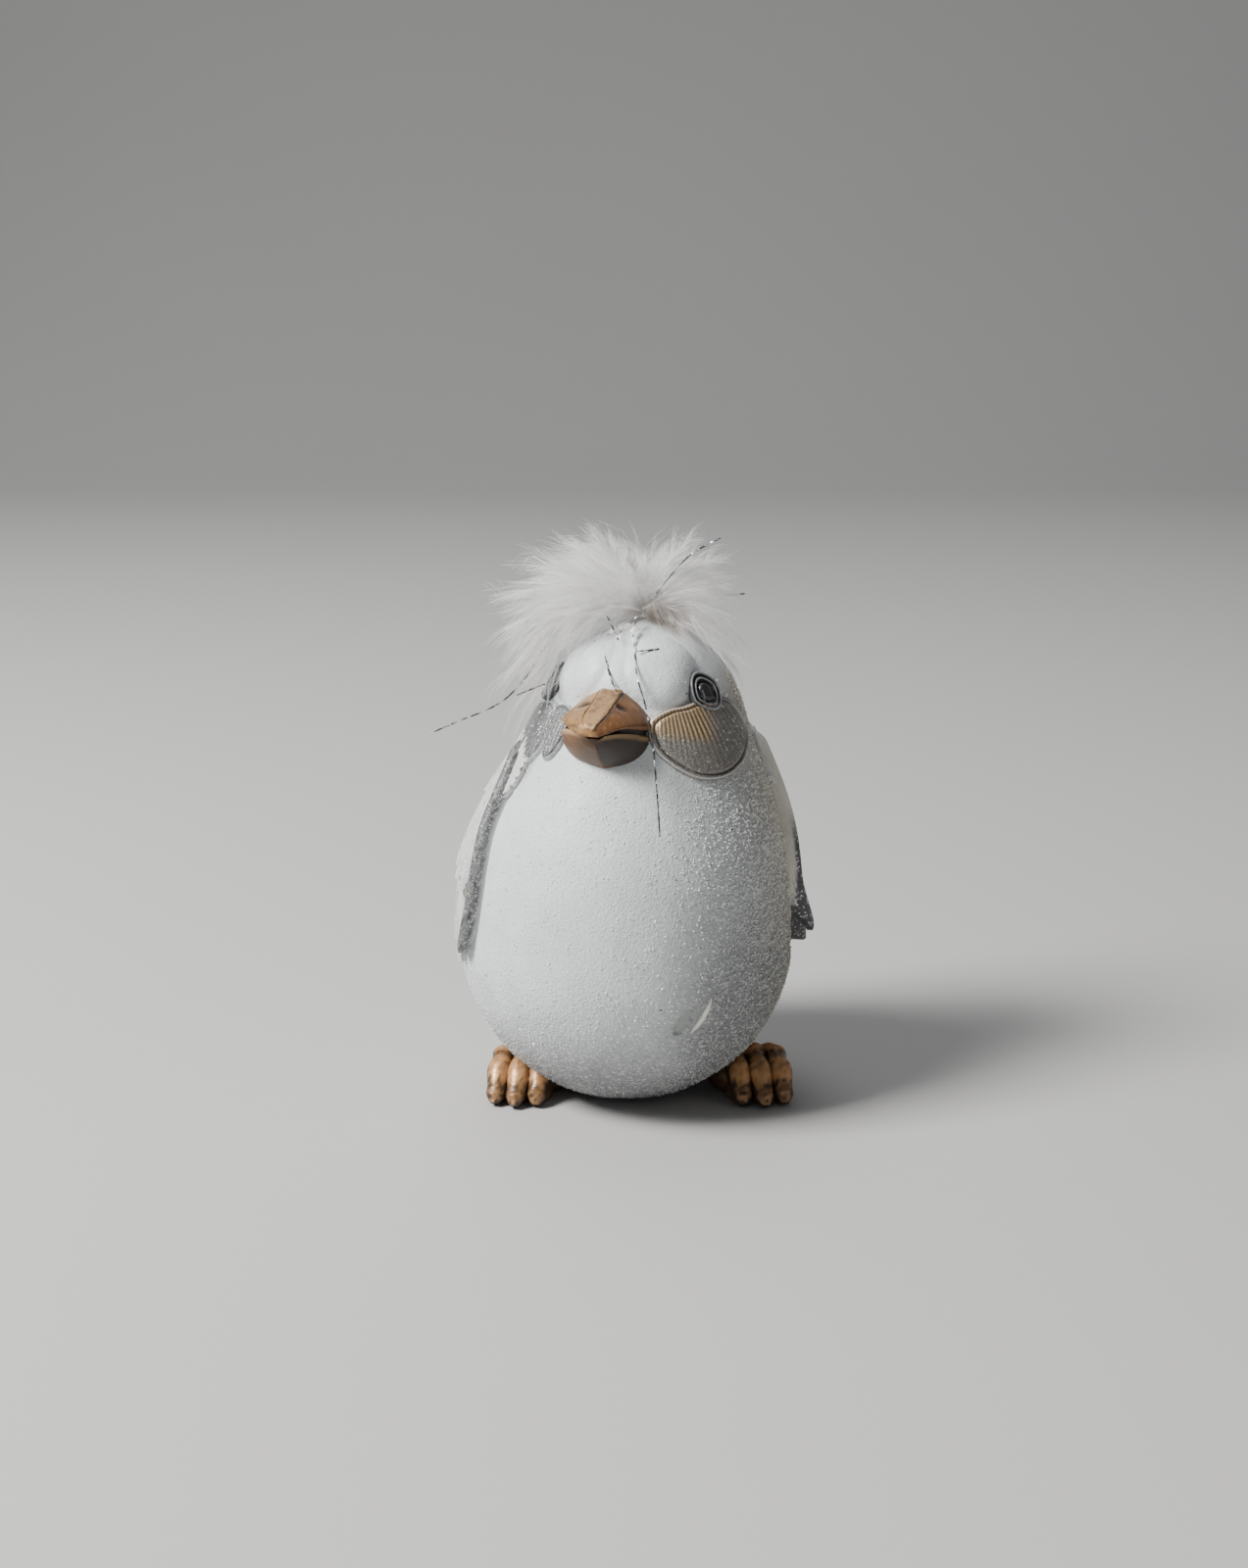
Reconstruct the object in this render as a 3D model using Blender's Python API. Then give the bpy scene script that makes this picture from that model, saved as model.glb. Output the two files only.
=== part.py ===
"""Bird figurine with a feather crest: the construction solids.

Metres, +Z up. The bird stands on z = 0 and faces -Y, and +X is on the viewer's right.
The carving is laid out in model millimetres, which are shares of the figure's height:
FIGURE_HEIGHT is CROWN of them.
"""
import math

import bmesh
import bpy
from mathutils import Matrix, Vector
from mathutils.bvhtree import BVHTree

# Driving sizes, in metres
FIGURE_HEIGHT = 0.110  # underside to crown, without the feathers
PIECE_GAP = 0.0003  # between pieces that touch on the real object
THREAD_WIDTH = 0.00036

# The carving's own scale
CROWN = 110.0
MM = FIGURE_HEIGHT / CROWN

# Body: an egg with a soft neck
BELLY_RADIUS = 37.8
BELLY_HEIGHT = 36.8
NECK_HEIGHT = 86.0
NECK_DEPTH = 0.14
NECK_SPREAD = 18.0
BODY_COLUMNS = 32
BODY_ROWS = 24
BELLY_SHIFT = -0.5
HEAD_SHIFT = 4.0
SHIFT_FROM, SHIFT_TO = 45.0, 100.0

# Poses, in degrees from the front toward +X
BODY_TURN = 12.0
HEAD_TURN = -20.0

# Brow bulges: angle either side of the head's middle, height, radii across, up and out
BROW_ANGLE, BROW_HEIGHT = 34.0, 100.2
BROW_RADII = (7.4, 7.6, 5.4)
BROW_SINK = 3.0

# Eyes: an almond with a double lid and a domed pupil
EYE_ANGLE, EYE_HEIGHT = 60.0, 96.2
EYE_LENGTH, EYE_WIDTH, EYE_TILT = 9.8, 8.0, 26.0
EYE_RINGS = (
    (0.80, -2.5), (1.00, 0.0), (0.92, 0.9), (0.78, 0.85),
    (0.68, 0.25), (0.58, 0.3), (0.44, 1.0), (0.18, 1.4),
)

# Cheek patches: outlines as (angle from the head's middle, height)
CHEEK_LEFT = (
    (24, 91), (27, 86), (37, 82), (49, 79.2), (61, 78.6), (74, 80),
    (85, 82.7), (92, 86), (80, 89.6), (50, 92.6), (35, 93),
)
CHEEK_RIGHT = (
    (36, 88), (38, 83), (44, 79.6), (52, 78.6), (63, 78.6), (76, 80),
    (87, 83), (92, 86), (80, 89.6), (52, 92.6), (40, 92.4),
)
CHEEK_LOBE = ((22, 91), (24, 86.5), (28, 82.4), (33, 81.6), (37, 84.5), (41, 89), (37, 92.6), (28, 93))
CHEEK_RINGS = ((0.85, -2.2), (1.0, 0.1), (0.95, 0.9), (0.82, 1.25), (0.45, 1.3))

# Beak stations along the head's forward axis: distance, half width of the top plate,
# half width at the mouth, height of the top and of the mouth
UPPER_BEAK = (
    (14.0, 2.8, 8.4, 98.6, 88.2), (19.0, 2.7, 9.2, 98.2, 89.0), (23.0, 2.6, 8.7, 97.0, 90.0),
    (27.0, 2.5, 7.2, 95.6, 91.0), (30.5, 2.4, 5.6, 94.4, 91.5), (33.0, 1.9, 3.8, 93.3, 91.0),
    (34.2, 1.0, 2.0, 92.2, 90.4),
)
# Distance, half width at the lip, height of the lip and of the bottom
LOWER_BEAK = (
    (14.0, 8.2, 87.4, 81.6), (19.0, 9.0, 87.7, 80.3), (23.0, 8.7, 88.7, 80.6),
    (26.5, 7.3, 89.7, 82.2), (29.5, 5.1, 90.2, 84.8), (31.5, 2.7, 90.0, 87.2),
)
MOUTH_INSET = 1.7
MOUTH_CORE_TO = 29.5

# Wings: angles from the body's middle, and heights
WING_FRONT = ((96, 83), (88, 80), (82, 73), (79, 66), (75, 58), (74, 49), (78, 39), (82, 34.5))
FLARE_FROM, FLARE_TO = 52.0, 34.0
TIP_FLARES = {-1: 0.3, 1: 3.0}
RIM_PROFILE = ((-1.7, -1.8), (-1.6, 1.3), (-0.9, 2.7), (0.2, 3.1), (1.2, 2.6), (1.8, 1.4), (1.7, -1.8))
RIM_ENDS = 0.45
# Each feather row: the roots' height, first and last tip (angle, height), feathers, width,
# lift at root and tip
FEATHER_ROWS = (
    ("primary", 66.0, (86.0, 33.8), (117.0, 47.5), 5, 9.0, 0.9, 1.4),
    ("middle", 71.0, (83.0, 50.0), (116.0, 56.5), 5, 10.0, 1.2, 2.5),
    ("shoulder", 84.0, (86.0, 66.5), (112.0, 71.0), 4, 11.0, 1.2, 2.3),
)
FEATHER_ROOT_SPREAD = 0.82
FEATHER_BARREL = (0.66, 0.94, 1.0, 0.74, 0.26)
FEATHER_SINK = 2.2

# Tail: three feathers on the back
TAIL_ROOT = (28.0, 41.0)
TAIL_TIP = (49.0, 25.0)
TAIL_WIDTH, TAIL_THICKNESS, TAIL_FAN = 13.0, 5.0, 13.0
# Shares of the way out, of the width and of the thickness
TAIL_CUT = ((0.0, 0.8, 1.0), (0.4, 1.0, 0.9), (0.75, 0.95, 0.6), (0.93, 0.6, 0.4), (1.0, 0.2, 0.15))

# Feet
FOOT_SPREAD = 26.6
FEET_MIDDLE = 2.6
FOOT_TURN = 9.0
TOE_HEEL = -4.5
TOE_SPACING = 4.7
TOE_LENGTHS = (0.88, 1.0, 0.92)
# Each knuckle: forward, height, radius
TOE_KNUCKLES = (
    (-4.5, 7.0, 2.2), (-1.0, 8.0, 3.0), (2.2, 7.6, 2.4), (5.6, 6.2, 3.0),
    (8.8, 3.7, 2.4), (11.0, 2.2, 2.2), (12.5, 0.9, 1.0),
)
TOE_SIDES = 8
ANKLE_RADII = (8.6, 8.0, 6.5)

# Crest of down plumes: tips, and how far each one arches above its chord
CREST_ROOT = (3.2, -0.5)
CREST_BASE_RADIUS = 3.4
CREST_TIPS = (
    ((-28.0, -4.0, 114.5), 5.0), ((-30.0, -7.0, 105.0), 9.0), ((-28.5, -9.0, 96.0), 14.0),
    ((-25.5, -10.0, 85.5), 20.0), ((-22.0, 2.0, 121.5), 3.0), ((-14.5, 7.0, 126.0), 2.0),
    ((-8.0, 2.0, 128.5), 1.0), ((-0.5, -7.0, 126.0), 1.0), ((8.5, 6.0, 124.5), 1.0),
    ((15.2, -2.0, 129.5), 1.0), ((21.0, 8.0, 122.5), 2.0), ((23.5, 2.0, 115.5), 4.0),
    ((25.5, -2.0, 105.0), 9.0), ((25.0, -5.0, 95.5), 14.0), ((-12.0, 19.0, 117.0), 5.0),
    ((4.0, 24.0, 112.0), 8.0), ((16.0, 18.0, 113.0), 7.0),
)
PLUME_RADII = (1.8, 3.0, 3.9, 4.1, 3.4, 2.2, 0.7)
PLUME_SIDES = 6
PLUME_CLEARANCE = 3.6

# Loose metallised threads, from the feathers outward: angle, height and lift above the egg
THREADS = {
    "tinsel_thread_face": (
        (-14.2, 111.6, 7.7), (-12.4, 106.8, 2.1), (-8.7, 104.4, 2.0), (-4.6, 99.2, 3.3), (-0.2, 94.7, 4.0),
        (2.4, 90.5, 4.6), (4.9, 85.7, 4.0), (6.5, 79.9, 3.7), (8.0, 74.1, 3.1), (9.2, 68.2, 2.5),
    ),
    "tinsel_thread_up": (
        (14.9, 115.2, 6.2), (34.4, 119.6, 8.5), (48.4, 124.5, 12.0), (56.5, 127.4, 15.6), (61.1, 129.1, 18.6),
    ),
    "tinsel_thread_far_left": (
        (-103.8, 87.4, 8.5), (-106.0, 82.4, 11.6), (-107.7, 76.8, 16.1), (-108.7, 71.3, 20.9),
    ),
    "tinsel_thread_temple": ((-53.4, 95.3, 7.2), (-55.5, 93.5, 9.7), (-56.7, 91.9, 11.9)),
    "tinsel_thread_forehead": (
        (-37.0, 104.6, 1.9), (-30.2, 102.7, 1.9), (-23.9, 100.2, 2.1), (-18.0, 97.6, 2.9), (-14.7, 96.3, 4.0),
    ),
    "tinsel_thread_cross": ((-5.5, 103.6, 2.9), (2.5, 104.0, 2.5), (11.2, 104.3, 2.3)),
    "tinsel_thread_far_right": (
        (128.0, 113.8, 14.6), (128.3, 113.3, 19.4), (127.1, 112.8, 24.8), (127.7, 112.6, 29.4),
    ),
    "tinsel_thread_glue": ((-45.4, 111.8, 11.4), (-32.8, 106.7, 4.2), (-22.7, 105.2, 3.1)),
}
THREAD_STEPS = 2


def new_collection(name):
    made = bpy.data.collections.new(name)
    bpy.context.scene.collection.children.link(made)
    return made


def paint(name, colour, roughness, metallic=0.0):
    made = bpy.data.materials.new(name)
    made.use_nodes = True
    shader = made.node_tree.nodes["Principled BSDF"]
    shader.inputs["Base Color"].default_value = (*colour, 1.0)
    shader.inputs["Roughness"].default_value = roughness
    shader.inputs["Metallic"].default_value = metallic
    return made


def solid_from(bm, name, collection):
    """An object made of a bmesh that is laid out in model millimetres."""
    bmesh.ops.recalc_face_normals(bm, faces=bm.faces)
    bmesh.ops.scale(bm, vec=(MM, MM, MM), verts=bm.verts)
    mesh = bpy.data.meshes.new(name)
    bm.to_mesh(mesh)
    bm.free()
    made = bpy.data.objects.new(name, mesh)
    collection.objects.link(made)
    return made


def loft(name, rings, collection):
    """A closed solid through rings of equal count, with a fan on each end."""
    bm = bmesh.new()
    rows = [[bm.verts.new(point) for point in ring] for ring in rings]
    count = len(rings[0])
    for near, far in zip(rows, rows[1:]):
        for i in range(count):
            j = (i + 1) % count
            bm.faces.new((near[i], near[j], far[j], far[i]))
    ends = [bm.faces.new(rows[0]), bm.faces.new(rows[-1])]
    bmesh.ops.poke(bm, faces=ends)
    return solid_from(bm, name, collection)


def ball(name, centre, axes, radii, collection, columns=12, rows=8):
    """An ellipsoid with its three radii along the given axes."""
    bm = bmesh.new()
    bmesh.ops.create_uvsphere(bm, u_segments=columns, v_segments=rows, radius=1.0)
    turn = Matrix([axes[0] * radii[0], axes[1] * radii[1], axes[2] * radii[2]]).transposed().to_4x4()
    turn.translation = centre
    bmesh.ops.transform(bm, matrix=turn, verts=bm.verts)
    return solid_from(bm, name, collection)


def mixed(a, b, share):
    return tuple(p + (q - p) * share for p, q in zip(a, b))


def smooth_path(points, steps, closed=False):
    """A Catmull-Rom curve through the points, with a number of steps a span."""
    count = len(points)
    spans = count if closed else count - 1
    path = []
    for span in range(spans):
        if closed:
            p0, p1, p2, p3 = (points[(span + k - 1) % count] for k in range(4))
        else:
            p0, p1, p2, p3 = (points[min(max(span + k - 1, 0), count - 1)] for k in range(4))
        for step in range(steps):
            t = step / steps
            path.append(tuple(
                b + 0.5 * t * ((c - a) + (2 * a - 5 * b + 4 * c - d) * t + (3 * b - a - 3 * c + d) * t * t)
                for a, b, c, d in zip(p0, p1, p2, p3)
            ))
    if not closed:
        path.append(tuple(points[-1]))
    return path


def eased(low, high, value):
    share = min(max((value - low) / (high - low), 0.0), 1.0)
    return share * share * (3 - 2 * share)


def body_radius(z):
    """Radius of the body at a height: a ball below the belly's middle, an egg with a neck above."""
    reach = BELLY_RADIUS if z < BELLY_HEIGHT else CROWN - BELLY_HEIGHT
    round_part = BELLY_RADIUS * math.sqrt(max(0.0, 1 - ((z - BELLY_HEIGHT) / reach) ** 2))
    neck = NECK_DEPTH * math.exp(-(((z - NECK_HEIGHT) / NECK_SPREAD) ** 2))
    return round_part * (1 - neck)


def body_middle(z):
    return BELLY_SHIFT + HEAD_SHIFT * eased(SHIFT_FROM, SHIFT_TO, z)


def outward(angle):
    turn = math.radians(angle)
    return Vector((math.sin(turn), -math.cos(turn), 0.0))


def skin(angle, z, lift=0.0):
    """A point on the smooth body, raised by a lift along the surface's normal."""
    step = 0.05
    slope = (body_radius(z + step) - body_radius(z - step)) / (2 * step)
    normal = (outward(angle) + Vector((0.0, 0.0, -slope))).normalized()
    base = Vector((body_middle(z), 0.0, z)) + outward(angle) * body_radius(z)
    return base + normal * lift


def beside(angle, z, across, up):
    """The (angle, height) reached from a point of the skin by going across and up it."""
    step = 0.5
    slope = (body_radius(z + step) - body_radius(z - step)) / (2 * step)
    return angle + math.degrees(across / body_radius(z)), z + up / math.hypot(1.0, slope)


def raised_patch(name, outline, rings, collection):
    """A carving that follows the skin: rings of the outline at (share, lift)."""
    middle = tuple(sum(axis) / len(outline) for axis in zip(*outline))
    carved = [[skin(*mixed(middle, p, share), lift) for p in outline] for share, lift in rings]
    return loft(name, carved, collection)


def join_into(base, collection):
    """The base with everything in the collection united to it, as one mesh."""
    union = base.modifiers.new("joined carving", "BOOLEAN")
    union.operation = "UNION"
    union.operand_type = "COLLECTION"
    union.collection = collection
    union.solver = "EXACT"
    apply_modifiers(base)
    keep_outer_shell(base)
    remove_all(collection)


def apply_modifiers(piece):
    bpy.context.view_layer.update()
    evaluated = piece.evaluated_get(bpy.context.evaluated_depsgraph_get())
    mesh = bpy.data.meshes.new_from_object(evaluated)
    mesh.name = piece.name
    piece.modifiers.clear()
    piece.data = mesh


def keep_outer_shell(piece):
    """Fills the pockets that the union sealed, as in a casting, by dropping their inner shells."""
    bm = bmesh.new()
    bm.from_mesh(piece.data)
    left = set(bm.verts)
    shells = []
    while left:
        shell = {left.pop()}
        edge_of_shell = set(shell)
        while edge_of_shell:
            reached = {edge.other_vert(vertex) for vertex in edge_of_shell for edge in vertex.link_edges}
            edge_of_shell = reached - shell
            shell |= edge_of_shell
        left -= shell
        shells.append(shell)
    shells.sort(key=len)
    for shell in shells[:-1]:
        bmesh.ops.delete(bm, geom=list(shell), context="VERTS")
    bm.to_mesh(piece.data)
    bm.free()


def remove_all(collection):
    for piece in list(collection.objects):
        bpy.data.objects.remove(piece)
    bpy.data.collections.remove(collection)


def make_body(collection):
    """The belly, neck and head: a ball stretched to the body's own profile."""
    bm = bmesh.new()
    bmesh.ops.create_uvsphere(bm, u_segments=BODY_COLUMNS, v_segments=BODY_ROWS, radius=1.0)
    for vertex in bm.verts:
        up = vertex.co.z
        z = BELLY_HEIGHT + up * (BELLY_RADIUS if up < 0 else CROWN - BELLY_HEIGHT)
        flat = Vector((vertex.co.x, vertex.co.y, 0.0))
        spoke = flat.normalized() if flat.length > 1e-6 else flat
        vertex.co = Vector((body_middle(z), 0.0, z)) + spoke * body_radius(z)
    return solid_from(bm, "bird_figure", collection)


def make_brow(side, collection):
    angle = HEAD_TURN + side * BROW_ANGLE
    normal = (skin(angle, BROW_HEIGHT, 1.0) - skin(angle, BROW_HEIGHT)).normalized()
    across = Vector((0.0, 0.0, 1.0)).cross(normal).normalized()
    centre = skin(angle, BROW_HEIGHT, -BROW_SINK)
    ball(f"brow_{side}", centre, (across, normal.cross(across), normal), BROW_RADII, collection)


def make_eye(side, collection):
    angle = HEAD_TURN + side * EYE_ANGLE
    tilt = math.radians(EYE_TILT)
    outline = []
    points = 14
    for i in range(points):
        turn = 2 * math.pi * i / points
        along = 0.5 * EYE_LENGTH * math.cos(turn)
        wide = 0.5 * EYE_WIDTH * math.sin(turn) * (1 - 0.25 * abs(math.cos(turn)))
        across = side * (wide * math.cos(tilt) - along * math.sin(tilt))
        up = along * math.cos(tilt) + wide * math.sin(tilt)
        outline.append(beside(angle, EYE_HEIGHT, across, up))
    raised_patch(f"eye_{side}", outline, EYE_RINGS, collection)


def make_cheek(side, points, collection):
    outline = [(HEAD_TURN + side * angle, z) for angle, z in smooth_path(points, 2, closed=True)]
    raised_patch("cheek", outline, CHEEK_RINGS, collection)


def head_point(forward, across, z):
    """A point given along the head's own forward axis, with across toward +X."""
    ahead = outward(HEAD_TURN)
    aside = outward(HEAD_TURN + 90.0)
    middle = Vector((body_middle(EYE_HEIGHT), 0.0, 0.0))
    return middle + ahead * forward + aside * across + Vector((0.0, 0.0, z))


def make_beak(collection):
    upper = []
    for forward, plate, side, top, mouth in UPPER_BEAK:
        rise = top - mouth
        half = (
            (0.0, top), (plate, top - 0.04 * rise), (0.5 * (plate + side) + 0.06 * side, mouth + 0.58 * rise),
            (side, mouth + 0.18 * rise), (0.96 * side, mouth), (0.5 * side, mouth),
        )
        ring = list(half) + [(-across, z) for across, z in reversed(half[1:])]
        upper.append([head_point(forward, across, z) for across, z in ring])
    loft("upper_beak", upper, collection)
    lower = []
    for forward, side, lip, bottom in LOWER_BEAK:
        ring = [(0.55 * side, lip), (-0.55 * side, lip)]
        for i in range(9):
            turn = math.pi * i / 8
            ring.append((-side * math.cos(turn), lip - 0.3 - (lip - 0.3 - bottom) * math.sin(turn) ** 0.85))
        lower.append([head_point(forward, across, z) for across, z in ring])
    loft("lower_beak", lower, collection)
    core = []
    for forward, side, lip, bottom in LOWER_BEAK[:-1]:
        half = side - MOUTH_INSET
        reach = min(forward, MOUTH_CORE_TO) - MOUTH_INSET
        core.append([
            head_point(reach, across, z)
            for across, z in ((half, lip - 2.0), (half, lip + 3.0), (-half, lip + 3.0), (-half, lip - 2.0))
        ])
    loft("mouth_core", core, collection)


def flare(side, z):
    """How far a wing stands away from the body toward its tip."""
    return TIP_FLARES[side] * (1 - eased(FLARE_TO, FLARE_FROM, z))


def make_wing_rim(side, collection):
    path = smooth_path(WING_FRONT, 2)
    rings = []
    for i, (angle, z) in enumerate(path):
        end = min(i, len(path) - 1 - i)
        size = (RIM_ENDS, 0.8)[end] if end < 2 else 1.0
        ring = []
        for across, lift in RIM_PROFILE:
            turn, height = beside(angle, z, across * size, 0.0)
            raised = lift * size + flare(side, z) if lift > 0 else lift
            ring.append(skin(BODY_TURN + side * turn, height, raised))
        rings.append(ring)
    loft(f"wing_rim_{side}", rings, collection)


def make_feather(name, side, root, tip, width, root_lift, tip_lift, collection):
    """A leaf of the wing, which lies on the skin and rises toward its rounded tip."""
    rings = []
    last = len(FEATHER_BARREL) - 1
    for i, barrel in enumerate(FEATHER_BARREL):
        share = i / last
        angle, z = mixed(root, tip, share)
        lift = root_lift + (tip_lift - root_lift) * share + flare(side, z)
        half = 0.5 * width * barrel
        ring = []
        floor = -FEATHER_SINK - lift
        profile = (
            (-1.0, -0.5), (-0.45, -0.05), (0.0, 0.15), (0.55, -0.1), (1.0, -0.7), (0.9, floor), (-0.9, floor),
        )
        for across, rise in profile:
            turn, height = beside(angle, z, across * half, 0.0)
            ring.append(skin(BODY_TURN + side * turn, height, lift + rise))
        rings.append(ring)
    loft(name, rings, collection)


def make_wing(side, collection):
    make_wing_rim(side, collection)
    for row, root_z, first, final, count, width, root_lift, tip_lift in FEATHER_ROWS:
        for i in range(count):
            tip = mixed(first, final, i / (count - 1))
            root = (WING_FRONT[2][0] + 5 + FEATHER_ROOT_SPREAD * (tip[0] - first[0]), root_z)
            lifts = (root_lift, tip_lift - 0.12 * i)
            make_feather(f"{row}_{side}_{i}", side, root, tip, width, *lifts, collection)


def make_tail(collection):
    for i in (-1, 1, 0):
        away = outward(180.0 + BODY_TURN + i * TAIL_FAN)
        aside = Vector((0.0, 0.0, 1.0)).cross(away)
        rings = []
        for share, wide, thick in TAIL_CUT:
            share *= 1.0 if i == 0 else 0.9
            reach, z = mixed(TAIL_ROOT, TAIL_TIP, share)
            middle = away * reach + Vector((0.0, 0.0, z - 0.8 * abs(i)))
            half, deep = 0.5 * TAIL_WIDTH * wide, 0.5 * TAIL_THICKNESS * thick
            ring = []
            for k in range(8):
                turn = 2 * math.pi * (k + 0.5) / 8
                rise = Vector((0.0, 0.0, deep * math.sin(turn)))
                ring.append(middle + aside * (half * math.cos(turn)) + rise)
            rings.append(ring)
        loft(f"tail_{i}", rings, collection)


def make_foot(side, collection):
    """Three knuckled toes on an ankle, with their undersides left to the flat cut."""
    origin = Vector((FEET_MIDDLE + side * FOOT_SPREAD, TOE_HEEL, 0.0))
    ahead = outward(side * FOOT_TURN)
    aside = outward(side * FOOT_TURN + 90.0)
    up = Vector((0.0, 0.0, 1.0))
    for toe in (-1, 0, 1):
        length = TOE_LENGTHS[1 + side * toe]
        rings = []
        for forward, z, radius in TOE_KNUCKLES:
            reach = forward * length if forward > 0 else forward
            spread = TOE_SPACING * toe * (1.0 if forward > 0 else 0.75)
            middle = origin + ahead * reach + aside * spread + up * z
            lean = eased(0.0, 9.0, forward) * 0.9
            rise = up * math.cos(lean) + ahead * math.sin(lean)
            ring = []
            for k in range(TOE_SIDES):
                turn = 2 * math.pi * k / TOE_SIDES
                ring.append(middle + aside * (radius * math.cos(turn)) + rise * (radius * math.sin(turn)))
            rings.append(ring)
        loft(f"toe_{side}_{toe}", rings, collection)
        sole = origin + ahead * (4.0 * length) + aside * (TOE_SPACING * toe) + up * 1.6
        ball(f"sole_{side}_{toe}", sole, (aside, ahead, up), (2.5, 6.6 * length, 3.6), collection, 8, 6)
    ankle = origin - ahead * 4.0 - aside * (side * 2.0) + up * 3.6
    ball(f"ankle_{side}", ankle, (aside, ahead, up), ANKLE_RADII, collection)


def flatten_underside(figure, cutters):
    """Cuts the casting flat where it stands."""
    bm = bmesh.new()
    bmesh.ops.create_cube(bm, size=1.0)
    bmesh.ops.scale(bm, vec=(200.0, 200.0, 20.0), verts=bm.verts)
    bmesh.ops.translate(bm, vec=(0.0, 0.0, -10.0), verts=bm.verts)
    cutter = solid_from(bm, "table_cut", cutters)
    cutter.hide_render = True
    cutter.display_type = "WIRE"
    cut = figure.modifiers.new("flat underside", "BOOLEAN")
    cut.operation = "DIFFERENCE"
    cut.object = cutter
    cut.solver = "EXACT"
    apply_modifiers(figure)


def make_figure(parts, cutters):
    figure = make_body(parts)
    carving = new_collection("carving")
    for side in (-1, 1):
        make_brow(side, carving)
        make_eye(side, carving)
        make_wing(side, carving)
        make_foot(side, carving)
    make_cheek(1, CHEEK_LEFT, carving)
    make_cheek(-1, CHEEK_RIGHT, carving)
    make_cheek(-1, CHEEK_LOBE, carving)
    make_beak(carving)
    make_tail(carving)
    join_into(figure, carving)
    flatten_underside(figure, cutters)
    return figure


def clear_of_head(point, margin):
    """The point moved straight out from the head's axis until it is clear of it."""
    if point.z >= CROWN:
        return point
    middle = Vector((body_middle(point.z), 0.0, point.z))
    spoke = point - middle
    least = body_radius(point.z) + margin
    return middle + spoke.normalized() * max(spoke.length, least)


def make_crest(parts):
    """Down plumes that fan out of one glued root on the crown."""
    gap = PIECE_GAP / MM
    root = Vector((*CREST_ROOT, CROWN + gap))
    up = Vector((0.0, 0.0, 1.0))
    base_rings = []
    for height, share in ((0.0, 0.75), (0.8, 1.0), (2.4, 0.95), (3.4, 0.5)):
        base_rings.append([
            root + up * height + outward(360.0 * k / 12) * (CREST_BASE_RADIUS * share) for k in range(12)
        ])
    crest = loft("feather_crest", base_rings, parts)
    plumes = new_collection("plumes")
    start = root + up * 1.9
    for number, (tip, arch) in enumerate(CREST_TIPS):
        tip = Vector(tip)
        bend = start.lerp(tip, 0.42) + up * (arch + 3.0)
        rings = []
        for i, radius in enumerate(PLUME_RADII):
            t = i / (len(PLUME_RADII) - 1)
            middle = start * (1 - t) ** 2 + bend * (2 * t * (1 - t)) + tip * t * t
            middle = clear_of_head(middle, radius + PLUME_CLEARANCE * min(1.0, 3 * t)) if t > 0 else middle
            rings.append((middle, radius))
        loft(f"plume_{number}", tube_rings(rings, PLUME_SIDES), plumes)
    join_into(crest, plumes)
    return crest


def tube_rings(stations, sides):
    """Round rings square to the path through (centre, radius) stations."""
    rings = []
    for i, (middle, radius) in enumerate(stations):
        before = stations[max(i - 1, 0)][0]
        after = stations[min(i + 1, len(stations) - 1)][0]
        along = (after - before).normalized()
        aside = along.cross(Vector((0.0, 1.0, 0.0))).normalized()
        upright = along.cross(aside)
        ring = []
        for k in range(sides):
            turn = 2 * math.pi * k / sides
            ring.append(middle + aside * (radius * math.cos(turn)) + upright * (radius * math.sin(turn)))
        rings.append(ring)
    return rings


def surface_of(piece):
    """A search tree of the piece's mesh, for distances from it."""
    corners = [vertex.co for vertex in piece.data.vertices]
    return BVHTree.FromPolygons(corners, [face.vertices for face in piece.data.polygons])


def thread_route(places, neighbours):
    """The route's stretch that stays clear of the neighbours, in metres."""
    margin = PIECE_GAP + THREAD_WIDTH
    clear = []
    for point in smooth_path([skin(*place) for place in places], THREAD_STEPS):
        place = Vector(point) * MM
        free = True
        for surface in neighbours:
            near, normal, _, distance = surface.find_nearest(place)
            if distance < margin or (place - near).dot(normal) < 0:
                free = False
        if free:
            clear.append(place)
        elif clear:
            break
    return clear


def make_thread(name, places, neighbours, parts, finish):
    """A square filament along its route, as a curve with a bevel."""
    route = thread_route(places, neighbours)
    curve = bpy.data.curves.new(name, "CURVE")
    curve.dimensions = "3D"
    curve.bevel_depth = 0.5 * THREAD_WIDTH
    curve.bevel_resolution = 0
    curve.use_fill_caps = True
    spline = curve.splines.new("POLY")
    spline.points.add(len(route) - 1)
    for point, place in zip(spline.points, route):
        point.co = (*place, 1.0)
    curve.materials.append(finish)
    made = bpy.data.objects.new(name, curve)
    parts.objects.link(made)
    return made


def build():
    for old in list(bpy.data.objects):
        bpy.data.objects.remove(old)
    parts = new_collection("bird_figurine")
    cutters = new_collection("cutters")
    figure = make_figure(parts, cutters)
    figure.data.materials.clear()
    figure.data.materials.append(paint("frosted white paint", (0.80, 0.82, 0.82), 0.62))
    crest = make_crest(parts)
    crest.data.materials.clear()
    crest.data.materials.append(paint("white down", (0.88, 0.88, 0.87), 0.9))
    for piece in (figure, crest):
        piece.data.shade_smooth()
        piece.data.set_sharp_from_angle(angle=math.radians(35))
    silver = paint("silver film", (0.62, 0.63, 0.65), 0.25, 1.0)
    neighbours = [surface_of(figure), surface_of(crest)]
    for name, places in THREADS.items():
        make_thread(name, places, neighbours, parts, silver)


build()
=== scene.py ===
# %% The frame the figurine is built in
import math

import bpy
import numpy as np
from mathutils import Matrix, Vector, noise


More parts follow.
